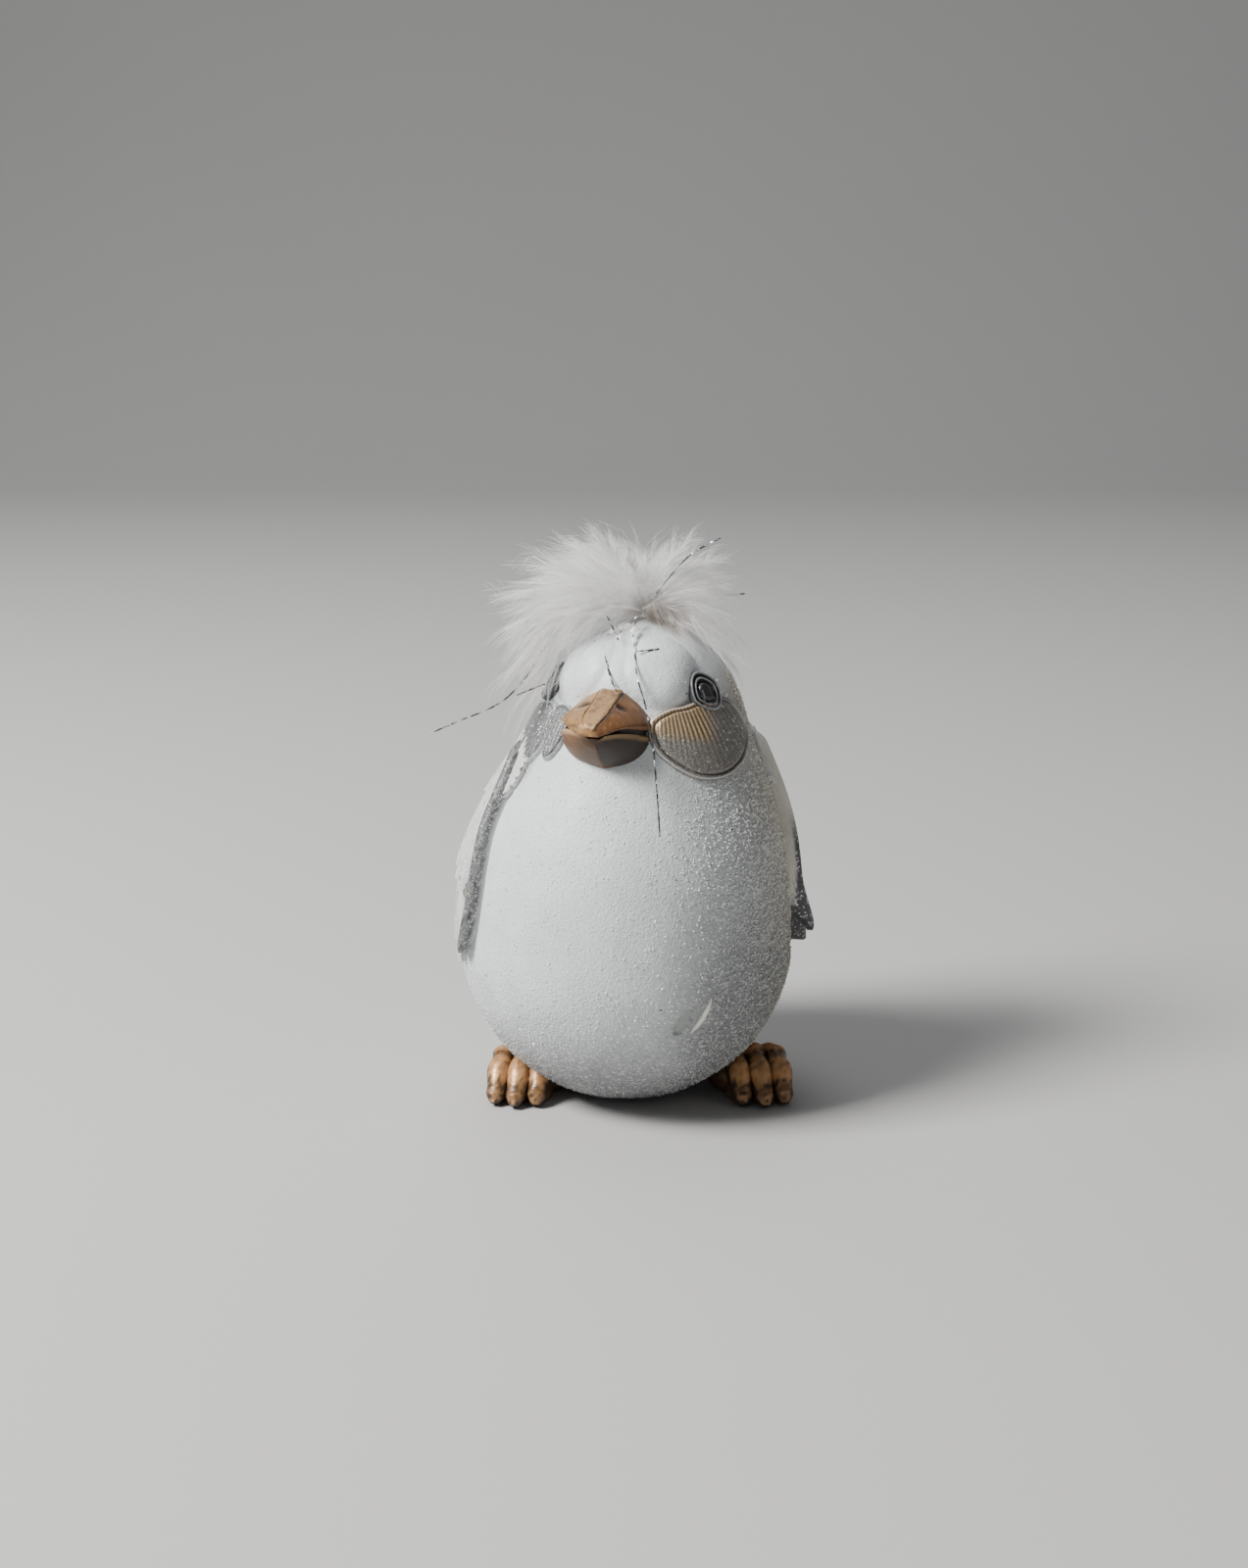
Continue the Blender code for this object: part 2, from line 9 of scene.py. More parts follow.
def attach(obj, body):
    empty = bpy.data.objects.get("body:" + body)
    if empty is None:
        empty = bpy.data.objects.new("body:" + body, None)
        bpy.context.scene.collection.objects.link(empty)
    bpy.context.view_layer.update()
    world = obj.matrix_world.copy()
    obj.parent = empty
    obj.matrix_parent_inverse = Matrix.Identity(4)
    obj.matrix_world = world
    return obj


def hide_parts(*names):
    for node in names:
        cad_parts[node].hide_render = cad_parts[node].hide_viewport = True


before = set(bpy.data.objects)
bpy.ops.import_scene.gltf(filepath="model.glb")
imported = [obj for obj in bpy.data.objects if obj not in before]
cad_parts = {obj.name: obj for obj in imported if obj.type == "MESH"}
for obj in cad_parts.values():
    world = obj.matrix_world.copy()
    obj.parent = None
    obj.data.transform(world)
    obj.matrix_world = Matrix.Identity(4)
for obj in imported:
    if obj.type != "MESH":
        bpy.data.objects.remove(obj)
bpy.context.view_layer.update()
bpy.ops.object.select_all(action="DESELECT")

# %% [markdown]
# The real thing is a small cast-resin bird, 110 mm tall to the crown, with a bunch of
# down glued on top. The casting has no straight line in it, so everything on it is laid
# out on one egg: a place is an angle round the body and a height, and a carving is a
# lift above that place. The same few curves shaped the construction solid, so the fine
# surface made here lands on it by itself. Sizes are in millimetres until the last step.

# %% The egg that everything sits on
MM = 0.001
CROWN = 110.0
BELLY_RADIUS, BELLY_HEIGHT = 37.8, 36.8
NECK_HEIGHT, NECK_DEPTH, NECK_SPREAD = 86.0, 0.14, 18.0
BODY_TURN, HEAD_TURN = 12.0, -20.0
# Height of the eyes, where the head's own frame has its middle
EYE_HEIGHT = 96.2


def eased(low, high, value):
    share = min(max((value - low) / (high - low), 0.0), 1.0)
    return share * share * (3 - 2 * share)


def mixed(a, b, share):
    return tuple(p + (q - p) * share for p, q in zip(a, b))


def body_radius(z):
    reach = BELLY_RADIUS if z < BELLY_HEIGHT else CROWN - BELLY_HEIGHT
    round_part = BELLY_RADIUS * math.sqrt(max(0.0, 1 - ((z - BELLY_HEIGHT) / reach) ** 2))
    return round_part * (1 - NECK_DEPTH * math.exp(-(((z - NECK_HEIGHT) / NECK_SPREAD) ** 2)))


def body_middle(z):
    return -0.5 + 4.0 * eased(45.0, 100.0, z)


def outward(angle):
    turn = math.radians(angle)
    return Vector((math.sin(turn), -math.cos(turn), 0.0))


def skin(angle, z, lift=0.0):
    slope = (body_radius(z + 0.05) - body_radius(z - 0.05)) / 0.1
    normal = (outward(angle) + Vector((0.0, 0.0, -slope))).normalized()
    return Vector((body_middle(z), 0.0, z)) + outward(angle) * body_radius(z) + normal * lift


def beside(angle, z, across, up):
    slope = (body_radius(z + 0.5) - body_radius(z - 0.5)) / 1.0
    return angle + math.degrees(across / body_radius(z)), z + up / math.hypot(1.0, slope)


def head_point(forward, across, z):
    ahead = outward(HEAD_TURN) * forward
    aside = outward(HEAD_TURN + 90.0) * across
    return Vector((body_middle(EYE_HEIGHT), 0.0, z)) + ahead + aside


def smooth_path(points, steps, closed=False):
    """A soft curve through the points, with a number of steps between each two."""
    count = len(points)
    path = []
    for span in range(count if closed else count - 1):
        near = [span + k - 1 for k in range(4)]
        near = [k % count if closed else min(max(k, 0), count - 1) for k in near]
        p0, p1, p2, p3 = (points[k] for k in near)
        for step in range(steps):
            t = step / steps
            path.append(tuple(
                b + 0.5 * t * ((c - a) + (2 * a - 5 * b + 4 * c - d) * t + (3 * b - a - 3 * c + d) * t * t)
                for a, b, c, d in zip(p0, p1, p2, p3)
            ))
    if not closed:
        path.append(tuple(points[-1]))
    return path


print("belly radius", body_radius(BELLY_HEIGHT), "neck radius", body_radius(NECK_HEIGHT))

# %% [markdown]
# Every carved form starts as a UV sphere, because a sphere is closed at both poles and
# keeps its rows and columns. Each vertex is then sent to its place in a stack of rings,
# the way a lump of clay is pulled into shape. The colour isn't an image: each vertex
# keeps its tone, how metallic it is, how gritty and how glossy, and the one resin
# material reads them and adds the grain.

# %% A helper that turns a sphere into any stack of rings
def store(piece, marks):
    """Keeps tone, metal, grit and gloss on the vertices."""
    marks = np.array(marks, dtype=np.float32)
    tone = piece.data.attributes.new("tone", "FLOAT_COLOR", "POINT")
    tone.data.foreach_set("color", np.c_[marks[:, :3], np.ones(len(marks), np.float32)].ravel())
    for column, name in ((3, "metal"), (4, "grit"), (5, "gloss")):
        layer = piece.data.attributes.new(name, "FLOAT", "POINT")
        layer.data.foreach_set("value", np.ascontiguousarray(marks[:, column]))


def loft(name, rings, mark):
    """A closed form through rings of points; mark(row, spoke, point) is each vertex's finish."""
    count, rows = len(rings[0]), len(rings)
    bpy.ops.object.select_all(action="DESELECT")
    bpy.ops.mesh.primitive_uv_sphere_add(segments=count, ring_count=rows + 1, radius=1.0)
    piece = bpy.context.object
    piece.name = name
    piece.data.name = name
    marks = []
    for vertex in piece.data.vertices:
        x, y, z = vertex.co
        row = round(math.acos(max(-1.0, min(1.0, z))) / math.pi * (rows + 1)) - 1
        spoke = round(math.atan2(y, x) / (2 * math.pi) * count) % count
        if 0 <= row < rows:
            point = Vector(rings[row][spoke])
        else:
            row = 0 if row < 0 else rows - 1
            point = sum((Vector(p) for p in rings[row]), Vector()) / count
        marks.append(mark(row, spoke, point))
        vertex.co = point * MM
    store(piece, marks)
    bpy.ops.object.mode_set(mode="EDIT")
    bpy.ops.mesh.select_all(action="SELECT")
    bpy.ops.mesh.normals_make_consistent(inside=False)
    bpy.ops.object.mode_set(mode="OBJECT")
    bpy.ops.object.shade_smooth_by_angle(angle=math.radians(50))
    return piece


def belongs(piece, solid, material):
    """The piece takes the place of a construction solid."""
    piece.data.materials.clear()
    piece.data.materials.append(material)
    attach(piece, "root")
    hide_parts(solid)
    return piece


print("a sphere of 3 rings of 8 has", 3 * 8 + 2, "vertices with its two poles")

# %% [markdown]
# One resin material does the white coat, the silver glitter, the bronze and the beak.
# Small Voronoi cells stand for the grains of glitter: each cell raises a bump, leans its
# own way and decides by chance if it is one of the bright ones. Wider noise keeps the
# brushed colour from looking even, and a few sparse cells become black specks.

# %% Small helpers for node materials
def node(tree, kind, inputs=None, **settings):
    """A shader node; an input that is itself a socket is linked, any other is set."""
    made = tree.nodes.new(kind)
    for key, value in settings.items():
        setattr(made, key, value)
    for key, value in (inputs or {}).items():
        if isinstance(value, bpy.types.NodeSocket):
            tree.links.new(value, made.inputs[key])
        else:
            made.inputs[key].default_value = value
    return made


def maths(tree, operation, a, b=0.5):
    return node(tree, "ShaderNodeMath", {0: a, 1: b}, operation=operation).outputs[0]


def mix_colour(tree, factor, a, b, blend="MIX"):
    made = node(tree, "ShaderNodeMix", {0: factor, 6: a, 7: b}, data_type="RGBA", blend_type=blend)
    return made.outputs[2]


def new_tree(name):
    material = bpy.data.materials.new(name)
    material.use_nodes = True
    material.node_tree.nodes.clear()
    return material, material.node_tree


print("materials so far", len(bpy.data.materials))

# %% [markdown]
# Cast resin is painted in coats: a brushed tone first, then glitter strewn into the wet
# varnish. The grain is bump and lean, not geometry, because it is finer than any mesh
# that this piece can carry. Tone, metal, grit and gloss come from the vertices.

# %% The resin's finish
FROST = (0.95, 0.95, 0.92)
TAN = (0.34, 0.185, 0.070)


def resin(name, cell=2100.0, raised=0.00055, lean=0.5, speck=1.0, coat=0.15, spark=(0.6, FROST)):
    """cell is grains per metre, raised their height, spark the share and tone of bright ones."""
    material, tree = new_tree(name)
    place = node(tree, "ShaderNodeTexCoord").outputs["Object"]
    tone = node(tree, "ShaderNodeAttribute", attribute_name="tone").outputs["Color"]
    metal = node(tree, "ShaderNodeAttribute", attribute_name="metal").outputs["Fac"]
    grit = node(tree, "ShaderNodeAttribute", attribute_name="grit").outputs["Fac"]
    gloss = node(tree, "ShaderNodeAttribute", attribute_name="gloss").outputs["Fac"]
    cells = node(tree, "ShaderNodeTexVoronoi", {"Vector": place, "Scale": cell})
    chance = node(tree, "ShaderNodeSeparateColor", {0: cells.outputs["Color"]})
    broad = node(tree, "ShaderNodeTexNoise", {
        "Vector": place, "Scale": 130.0, "Detail": 5.0, "Roughness": 0.6,
    })
    fine = node(tree, "ShaderNodeTexNoise", {"Vector": place, "Scale": 1500.0, "Detail": 3.0})
    dots = node(tree, "ShaderNodeTexVoronoi", {"Vector": place, "Scale": 330.0})
    dot_chance = node(tree, "ShaderNodeSeparateColor", {0: dots.outputs["Color"]})
    # Brushed unevenness
    wash = maths(tree, "MULTIPLY_ADD", broad.outputs[0], 0.34)
    tree.nodes[-1].inputs[2].default_value = 0.83
    shade = node(tree, "ShaderNodeVectorMath", {0: tone, 3: wash}, operation="SCALE").outputs[0]
    # Bright grains and black specks
    bright = maths(tree, "MULTIPLY", maths(tree, "GREATER_THAN", chance.outputs[0], 0.84), grit)
    shade = mix_colour(tree, maths(tree, "MULTIPLY", bright, spark[0]), shade, (*spark[1], 1.0))
    small = maths(tree, "LESS_THAN", dots.outputs["Distance"], 0.09)
    rare = maths(tree, "GREATER_THAN", dot_chance.outputs[1], 0.955)
    black = maths(tree, "MULTIPLY", maths(tree, "MULTIPLY", small, rare), speck)
    shade = mix_colour(tree, black, shade, (0.03, 0.03, 0.035, 1.0))
    # Grains: height, and a lean of their own
    mound = maths(tree, "SUBTRACT", 1.0, cells.outputs["Distance"])
    mound = maths(tree, "MULTIPLY", mound, maths(tree, "MULTIPLY", chance.outputs[2], grit))
    height = maths(tree, "ADD", mound, maths(tree, "MULTIPLY", fine.outputs[0], 0.3))
    bump = node(tree, "ShaderNodeBump", {"Strength": 0.8, "Distance": raised, "Height": height})
    centred = {0: cells.outputs["Color"], 1: (0.5, 0.5, 0.5)}
    aside = node(tree, "ShaderNodeVectorMath", centred, operation="SUBTRACT")
    shiny = maths(tree, "MAXIMUM", metal, bright)
    leaning = maths(tree, "MULTIPLY", shiny, maths(tree, "MULTIPLY", grit, lean))
    tilt = node(tree, "ShaderNodeVectorMath", {0: aside.outputs[0], 3: leaning}, operation="SCALE").outputs[0]
    facing = node(tree, "ShaderNodeVectorMath", {0: bump.outputs[0], 1: tilt}, operation="ADD").outputs[0]
    facing = node(tree, "ShaderNodeVectorMath", {0: facing}, operation="NORMALIZE").outputs[0]
    rough = maths(tree, "SUBTRACT", 0.68, maths(tree, "MULTIPLY", gloss, 0.52))
    rough = maths(tree, "SUBTRACT", rough, maths(tree, "MULTIPLY", bright, 0.3))
    rough = maths(tree, "MAXIMUM", rough, 0.09)
    shader = node(tree, "ShaderNodeBsdfPrincipled", {
        "Base Color": shade, "Metallic": metal, "Roughness": rough, "Normal": facing,
        "Coat Weight": coat, "Coat Roughness": 0.25,
    })
    node(tree, "ShaderNodeOutputMaterial", {"Surface": shader.outputs[0]})
    return material


white_coat = resin("white coat with glitter")
silver_glitter = resin(
    "silver glitter", cell=3300.0, raised=0.00018, lean=0.9, spark=(0.6, (0.72, 0.68, 0.58)),
)
bronze_paint = resin(
    "rubbed bronze paint", cell=1500.0, raised=0.00012, lean=0.2, speck=0.0, coat=0.2, spark=(0.0, TAN),
)
print("resin finishes", white_coat.name, silver_glitter.name, bronze_paint.name)

# %% [markdown]
# The body is one egg-shaped casting. On it the brows are soft bulges that melt into the
# forehead at the top and end in a sharp crease over the cheeks. Low on its left a spot
# of the coat has come off and left a smooth oval hollow. Both are heights added to the
# egg, so that the skin stays in one piece.

# %% The brows and the bare spot
BROW_ANGLE, BROW_HEIGHT = 34.0, 100.2
BROW_HALF_WIDTH, BROW_HALF_HEIGHT, BROW_SQUEEZE = 8.2, 8.4, 1.18
PEEL_ANGLE, PEEL_HEIGHT = 19.8, 27.6


def soft_max(a, b, blend):
    return max(a, b) + max(blend - abs(a - b), 0.0) ** 2 / (4 * blend)


def across_mm(angle, other, z):
    turn = (angle - other + 180.0) % 360.0 - 180.0
    return math.radians(turn) * body_radius(z)


def brow_lift(angle, z):
    middle = across_mm(angle, HEAD_TURN, z) / 10.0
    above = (z - 101.0) / 8.0
    highest = soft_max(0.0, 4.7 * math.sqrt(max(0.0, 1 - middle ** 2 - above ** 2)) - 3.0, 2.5)
    for side in (-1, 1):
        across = across_mm(angle, HEAD_TURN + side * BROW_ANGLE, z)
        up = (z - BROW_HEIGHT) * BROW_SQUEEZE
        inside = 1 - (across / BROW_HALF_WIDTH) ** 2 - (up / BROW_HALF_HEIGHT) ** 2
        bulge = 5.6 * math.sqrt(max(0.0, inside)) - 3.0
        inner = eased(1.0, -7.0, side * across)
        near = eased(17.0, 11.0, math.hypot(across, up))
        highest = soft_max(highest, bulge, 0.5 + 4.2 * near * max(eased(-4.0, 4.0, up), inner))
    return highest


def peel(angle, z):
    across = across_mm(angle, PEEL_ANGLE, z)
    up = (z - PEEL_HEIGHT) * 1.1
    along, aside = 0.92 * up + 0.39 * across, 0.92 * across - 0.39 * up
    return 1 - eased(0.82, 1.0, math.hypot(along / 3.9, aside / 1.7))


def body_lift(angle, z):
    uneven = 0.22 * noise.noise(skin(angle, z) * 0.09)
    ripple = 0.05 * noise.noise(skin(angle, z) * 0.9)
    return brow_lift(angle, z) + uneven + ripple - 0.35 * peel(angle, z)


print("a brow stands out by", brow_lift(HEAD_TURN + BROW_ANGLE, BROW_HEIGHT), "mm")

# %% [markdown]
# The coat is white over the chest. Its grains lie thicker toward the bird's left side and
# underneath, and there the coat is painted greyer, warmer and darker as shade. Each of
# these is a soft share between 0 and 1, laid over the white one after the other.

# %% The coat's tones
WHITE = (0.70, 0.735, 0.75)
WARM_SHADE = (0.40, 0.34, 0.27)
SHADE_GREY = (0.42, 0.43, 0.44)
LOW_SHADE = (0.17, 0.175, 0.18)


def grain_share(turn, z):
    """How thick the sugar lies: most on the bird's left side and low down."""
    flank = eased(5.0, 60.0, turn) * eased(175.0, 120.0, turn)
    return max(flank, 0.85 * eased(40.0, 10.0, z))


def shaded_side(turn, z):
    """Painted shade: the coat is darkened underneath and low on the bird's left."""
    low_left = eased(2.0, 36.0, turn) * eased(170.0, 120.0, turn) * eased(64.0, 22.0, z)
    return max(0.95 * eased(25.0, 6.0, z), low_left)


def body_mark(angle, z):
    turn = (angle + 180.0) % 360.0 - 180.0
    # Painted shade: a warm brownish darkening on the bird's left side, away from the key light.
    side = eased(40.0, 85.0, turn) * eased(165.0, 115.0, turn)
    warm_shade = side * eased(18.0, 40.0, z) * (1 - eased(92.0, 104.0, z))
    smooth = eased(92.0, 98.0, z)
    grain = (0.3 + 0.7 * grain_share(turn, z)) * (1 - 0.75 * smooth)
    # Painted shade: the coat is greyer where the grains lie thick, on the bird's left side and low down.
    tone = mixed(WHITE, SHADE_GREY, 0.75 * grain_share(turn, z) * (1 - smooth))
    tone = mixed(tone, WARM_SHADE, 0.75 * warm_shade)
    # Painted shade underneath and low on the bird's left.
    tone = mixed(tone, LOW_SHADE, 0.88 * shaded_side(turn, z))
    silver = eased(-57.0, -65.0, turn) * eased(-108.0, -98.0, turn)
    silver *= eased(74.0, 79.0, z) * eased(94.0, 90.0, z)
    tone = mixed(tone, (0.30, 0.31, 0.32), 0.8 * silver)
    # Painted shadow: a dark line along each brow's lower edge, where the brow overhangs the cheek.
    for side in (-1, 1):
        across = across_mm(angle, HEAD_TURN + side * BROW_ANGLE, z)
        below = z - BROW_HEIGHT
        rim = math.hypot(across / BROW_HALF_WIDTH, below * BROW_SQUEEZE / BROW_HALF_HEIGHT)
        crease = math.exp(-(((rim - 0.93) / 0.05) ** 2))
        crease *= eased(-2.0, -6.0, below) * eased(-3.0, 4.0, side * across)
        tone = mixed(tone, (0.16, 0.16, 0.165), 0.75 * crease)
    bare = peel(angle, z)
    tone = mixed(tone, (0.34, 0.37, 0.355), bare)
    tone = mixed(tone, (0.10, 0.105, 0.105), 3.0 * bare * (1 - bare))
    return (*tone, 0.4 * silver, max(grain, silver) * (1 - bare), 0.25 + 0.3 * bare)


print("tone of the chest", body_mark(0.0, 60.0)[:3], "and of the left side", body_mark(80.0, 60.0)[:3])

# %% [markdown]
# The skin is one sphere of many fine rows, each row sent to its height on the egg. The
# rows are closest at the poles, so the crown and the underside stay round.

# %% The body's skin
COLUMNS, ROWS = 320, 240
body_rings = []
body_marks = []
for row in range(1, ROWS):
    up = math.cos(math.pi * row / ROWS)
    z = BELLY_HEIGHT + up * (BELLY_RADIUS if up < 0 else CROWN - BELLY_HEIGHT)
    ring = []
    for spoke in range(COLUMNS):
        angle = 360.0 * spoke / COLUMNS + 90.0
        point = skin(angle, z, body_lift(angle, z))
        point.z = max(point.z, 0.0)
        ring.append(point)
    body_rings.append(ring)
    body_marks.append([body_mark(360.0 * spoke / COLUMNS + 90.0, z) for spoke in range(COLUMNS)])
body = loft("body_skin", body_rings, lambda row, spoke, point: body_marks[row][spoke])
belongs(body, "bird_figure", white_coat)
print("body skin vertices", len(body.data.vertices))

# %% [markdown]
# Where the coat has lifted beside the bare spot, a thin flake stands up. It is a short
# curved sliver, thick enough to be a real chip of paint, leaning over the hollow.

# %% The lifted flake of coat
def flake_ring(share):
    angle = 23.0 + 6.2 * share + 0.8 * math.sin(3.0 * share)
    z = 24.6 + 8.2 * share
    high = 0.75 * math.sin(math.pi * min(max(share, 0.02), 0.98)) ** 0.6
    ring = []
    for across, lift in ((-0.6, -0.4), (-0.3, 0.6 * high), (0.05, high), (0.3, 0.95 * high), (0.12, -0.4)):
        turn, height = beside(angle, z, across * (0.4 + high), 0.0)
        ring.append(skin(turn, height, lift))
    return ring


flake_rings = [flake_ring(k / 14) for k in range(15)]
flake = loft("coat_flake", flake_rings, lambda row, spoke, point: (0.80, 0.80, 0.70, 0.0, 0.1, 0.4))
belongs(flake, "bird_figure", white_coat)
print("flake, mm", tuple(side / MM for side in flake.dimensions))

# %% [markdown]
# A carving that lies on the body, such as an eye or a cheek, is a stack of shrinking
# copies of its outline. The list of (share, lift) pairs is the cut through it from rim
# to middle, and the first pair is sunk below the skin so that no gap can show.

# %% A raised patch on the skin
def patch(name, outline, profile, finish, relief=None):
    """finish(share, angle, z) gives the look, relief(share, angle, z) adds fine carving."""
    middle = tuple(sum(axis) / len(outline) for axis in zip(*outline))
    rings = []
    looks = []
    for share, lift in profile:
        places = [mixed(middle, point, share) for point in outline]
        extra = [relief(share, *place) if relief else 0.0 for place in places]
        rings.append([skin(*place, lift + more) for place, more in zip(places, extra)])
        looks.append([finish(share, *place) for place in places])
    return loft(name, rings, lambda row, spoke, point: looks[row][spoke])


print("skin between the eyes, mm", tuple(skin(HEAD_TURN, EYE_HEIGHT)))

# %% [markdown]
# Each eye is a black bead inside a double lid. The lids were brushed with silver over
# black, so the paint is bright on the two ridges and dark between them, and scratches
# in the black show the resin.

# %% The eyes: a double lid round a black bead
EYE_ANGLE, EYE_TILT = 60.0, 26.0
SILVER = (0.52, 0.53, 0.54)
SOOT = (0.045, 0.045, 0.05)
EYE_CUT = (
    (0.80, -2.5), (1.02, -0.1), (1.0, 0.9), (0.94, 1.5), (0.86, 1.5), (0.80, 0.85), (0.76, 0.8),
    (0.69, 1.4), (0.62, 1.35), (0.56, 0.7), (0.49, 0.95), (0.38, 1.5), (0.22, 1.85), (0.06, 1.95),
)


def eye_finish(share, angle, z):
    if share < 0.53:
        place = Vector((angle * 0.55 + z * 0.35, z * 0.12 - angle * 0.05, 3.0))
        scratch = eased(0.25, 0.5, noise.noise(place * 2.6))
        return (*mixed((0.012, 0.012, 0.014), (0.30, 0.30, 0.31), 0.55 * scratch), 0.0, 0.0, 0.8)
    rubbed = 0.5 + 0.5 * noise.noise(skin(angle, z) * 1.3)
    ridge = max(1 - abs(share - 0.90) / 0.06, 1 - abs(share - 0.655) / 0.055, 0.0)
    tone = mixed(SOOT, mixed(SILVER, WHITE, 0.4 * rubbed), min(1.0, 1.2 * ridge) * (0.3 + 0.7 * rubbed))
    return (*tone, 0.45 * ridge, 0.35, 0.4)


def eye_outline(side, points=64):
    angle, tilt = HEAD_TURN + side * EYE_ANGLE, math.radians(EYE_TILT)
    outline = []
    for i in range(points):
        turn = 2 * math.pi * i / points
        along = 4.9 * math.cos(turn)
        wide = 4.1 * math.sin(turn) * (1 - 0.2 * abs(math.cos(turn)))
        across = side * (wide * math.cos(tilt) - along * math.sin(tilt))
        outline.append(beside(angle, EYE_HEIGHT, across, along * math.cos(tilt) + wide * math.sin(tilt)))
    return outline


for side, name in ((-1, "eye_left"), (1, "eye_right")):
    eye = patch(name, eye_outline(side), smooth_path(EYE_CUT, 3), eye_finish)
    belongs(eye, "bird_figure", bronze_paint)
print("eye, mm", tuple(side / MM for side in eye.dimensions))

# %% [markdown]
# The cheeks are pads of dark glitter with a rolled rim. Fine grooves fan over them like
# the barbs of a feather, and near the beak a brush has left bronze on the ridges. The
# fan is a count of lines round a point above the pad.

# %% The cheeks' outlines and cut
CHEEK_PAD = (
    (23, 91), (26, 86), (36, 82), (48, 79.2), (61, 78.6), (74, 80),
    (85, 82.7), (93, 86.5), (88, 91), (76, 94.5), (58, 95.0), (44, 94.0), (33, 93.4),
)
CHEEK_BACK = (
    (36, 88), (38, 83), (44, 79.6), (52, 78.6), (63, 78.6), (76, 80),
    (87, 83), (92, 86), (80, 89.6), (52, 92.6), (40, 92.4),
)
CHEEK_LOBE = ((22, 91), (24, 86.5), (28, 82.4), (33, 81.6), (37, 84.5), (41, 89), (37, 92.6), (28, 93))
CHEEK_CUT = (
    (0.85, -2.2), (1.01, -0.1), (1.0, 0.6), (0.97, 0.95),
    (0.93, 0.95), (0.90, 0.65), (0.87, 0.95), (0.83, 1.2),
)
FLAT_RINGS = 46
print("points round the cheek pad", len(CHEEK_PAD), "and in its cut", len(CHEEK_CUT))

# %% [markdown]
# The pad on the bird's left has the bronze. Its tone goes from dark glitter to bronze
# toward the beak, is white where it meets the brow, and has a pale rolled rim with a dark
# line inside it. On the other side the cheek is two lobes of plain silver glitter.

# %% The cheeks' finish and grooves
DARK_GLITTER = (0.235, 0.225, 0.21)
BRONZE = (0.62, 0.46, 0.28)
FAN_ANGLE, FAN_LINES = 26.0, 150.0


def groove(side, angle, z):
    """-1 in a groove and +1 on a ridge of the fan."""
    across = side * across_mm(angle, HEAD_TURN + side * FAN_ANGLE, z)
    return math.sin(FAN_LINES * math.atan2(across, CROWN - z))


def cheek_finish_on(side):
    def finish(share, angle, z):
        off = side * (angle - HEAD_TURN)
        ridge = groove(side, angle, z)
        if side < 0:
            tone = mixed((0.13, 0.135, 0.14), (0.33, 0.34, 0.35), 0.5 + 0.4 * ridge)
            tone = mixed(tone, WHITE, 0.6 * eased(0.9, 1.0, share))
            return (*tone, 0.55, 1.0, 0.4)
        near_beak = eased(64.0, 52.0, off) * eased(86.0, 89.0, z + 0.08 * (off - 40.0))
        bronze = mixed((0.16, 0.10, 0.05), BRONZE, 0.5 + 0.5 * ridge)
        tone = mixed(DARK_GLITTER, bronze, near_beak)
        tone = mixed(tone, WHITE, 0.85 * eased(84.0, 100.0, off + 0.9 * (z - 84.0)))
        rim = max(0.0, 1 - abs(share - 0.985) / 0.022)
        tone = mixed(tone, WHITE, 0.85 * rim)
        dark_line = max(0.0, 1 - abs(share - 0.9) / 0.02)
        tone = mixed(tone, (0.03, 0.03, 0.03), 0.8 * dark_line)
        return (*tone, 0.5 * (1 - rim), 1.0 - 0.6 * near_beak, 0.45)
    return finish


def cheek_relief_on(side):
    def relief(share, angle, z):
        deep = 0.03 + 0.07 * eased(84.5, 88.0, z) if side > 0 else 0.06
        return deep * groove(side, angle, z) * (1 - eased(0.78, 0.86, share))
    return relief


def cheek(name, side, points):
    outline = [(HEAD_TURN + side * angle, z) for angle, z in smooth_path(points, 16, closed=True)]
    cut = smooth_path(CHEEK_CUT, 4)
    cut += [
        (0.83 - 0.79 * k / FLAT_RINGS, 1.2 + 0.25 * k / FLAT_RINGS) for k in range(1, FLAT_RINGS + 1)
    ]
    made = patch(name, outline, cut, cheek_finish_on(side), cheek_relief_on(side))
    return belongs(made, "bird_figure", silver_glitter)


cheek("cheek_pad", 1, CHEEK_PAD)
cheek("cheek_back", -1, CHEEK_BACK)
cheek("cheek_lobe", -1, CHEEK_LOBE)
print("cheek pieces", 3, "with", FLAT_RINGS, "rings inside the rim")

# %% [markdown]
# The beak is two shells with a dark slot between them. The upper one has a flat plate
# on top, set off by a groove that runs down to the tip, and a nostril on each side. The
# lower one ends in a rolled lip. The paint is bronze rubbed thin on the edges, with
# black patina left in the hollows.

# %% The upper beak
UPPER_BEAK = (
    (14.0, 2.8, 8.4, 98.6, 88.2), (19.0, 2.7, 9.2, 98.2, 89.0), (23.0, 2.6, 8.7, 97.0, 90.0),
    (27.0, 2.5, 7.2, 95.6, 91.0), (30.5, 2.4, 5.6, 94.4, 91.5), (33.0, 1.9, 3.8, 93.3, 91.0),
    (34.2, 1.0, 2.0, 92.2, 90.4),
)
RUST = (0.205, 0.09, 0.034)
BROWN = (0.10, 0.048, 0.021)
BLACK = (0.018, 0.014, 0.011)
LIP = (0.45, 0.29, 0.15)
NOSTRIL = (25.3, 95.0)


def head_place(point):
    """The point's distance ahead, to the side and up in the head's own frame."""
    flat = point - Vector((body_middle(EYE_HEIGHT), 0.0, 0.0))
    return flat.dot(outward(HEAD_TURN)), flat.dot(outward(HEAD_TURN + 90.0)), point.z


def beak_point(forward, across, z):
    """The beak is fuller on the bird's right than on its left."""
    return head_point(forward, across * (1.0 + 0.22 * eased(0.0, -5.0, across)), z)


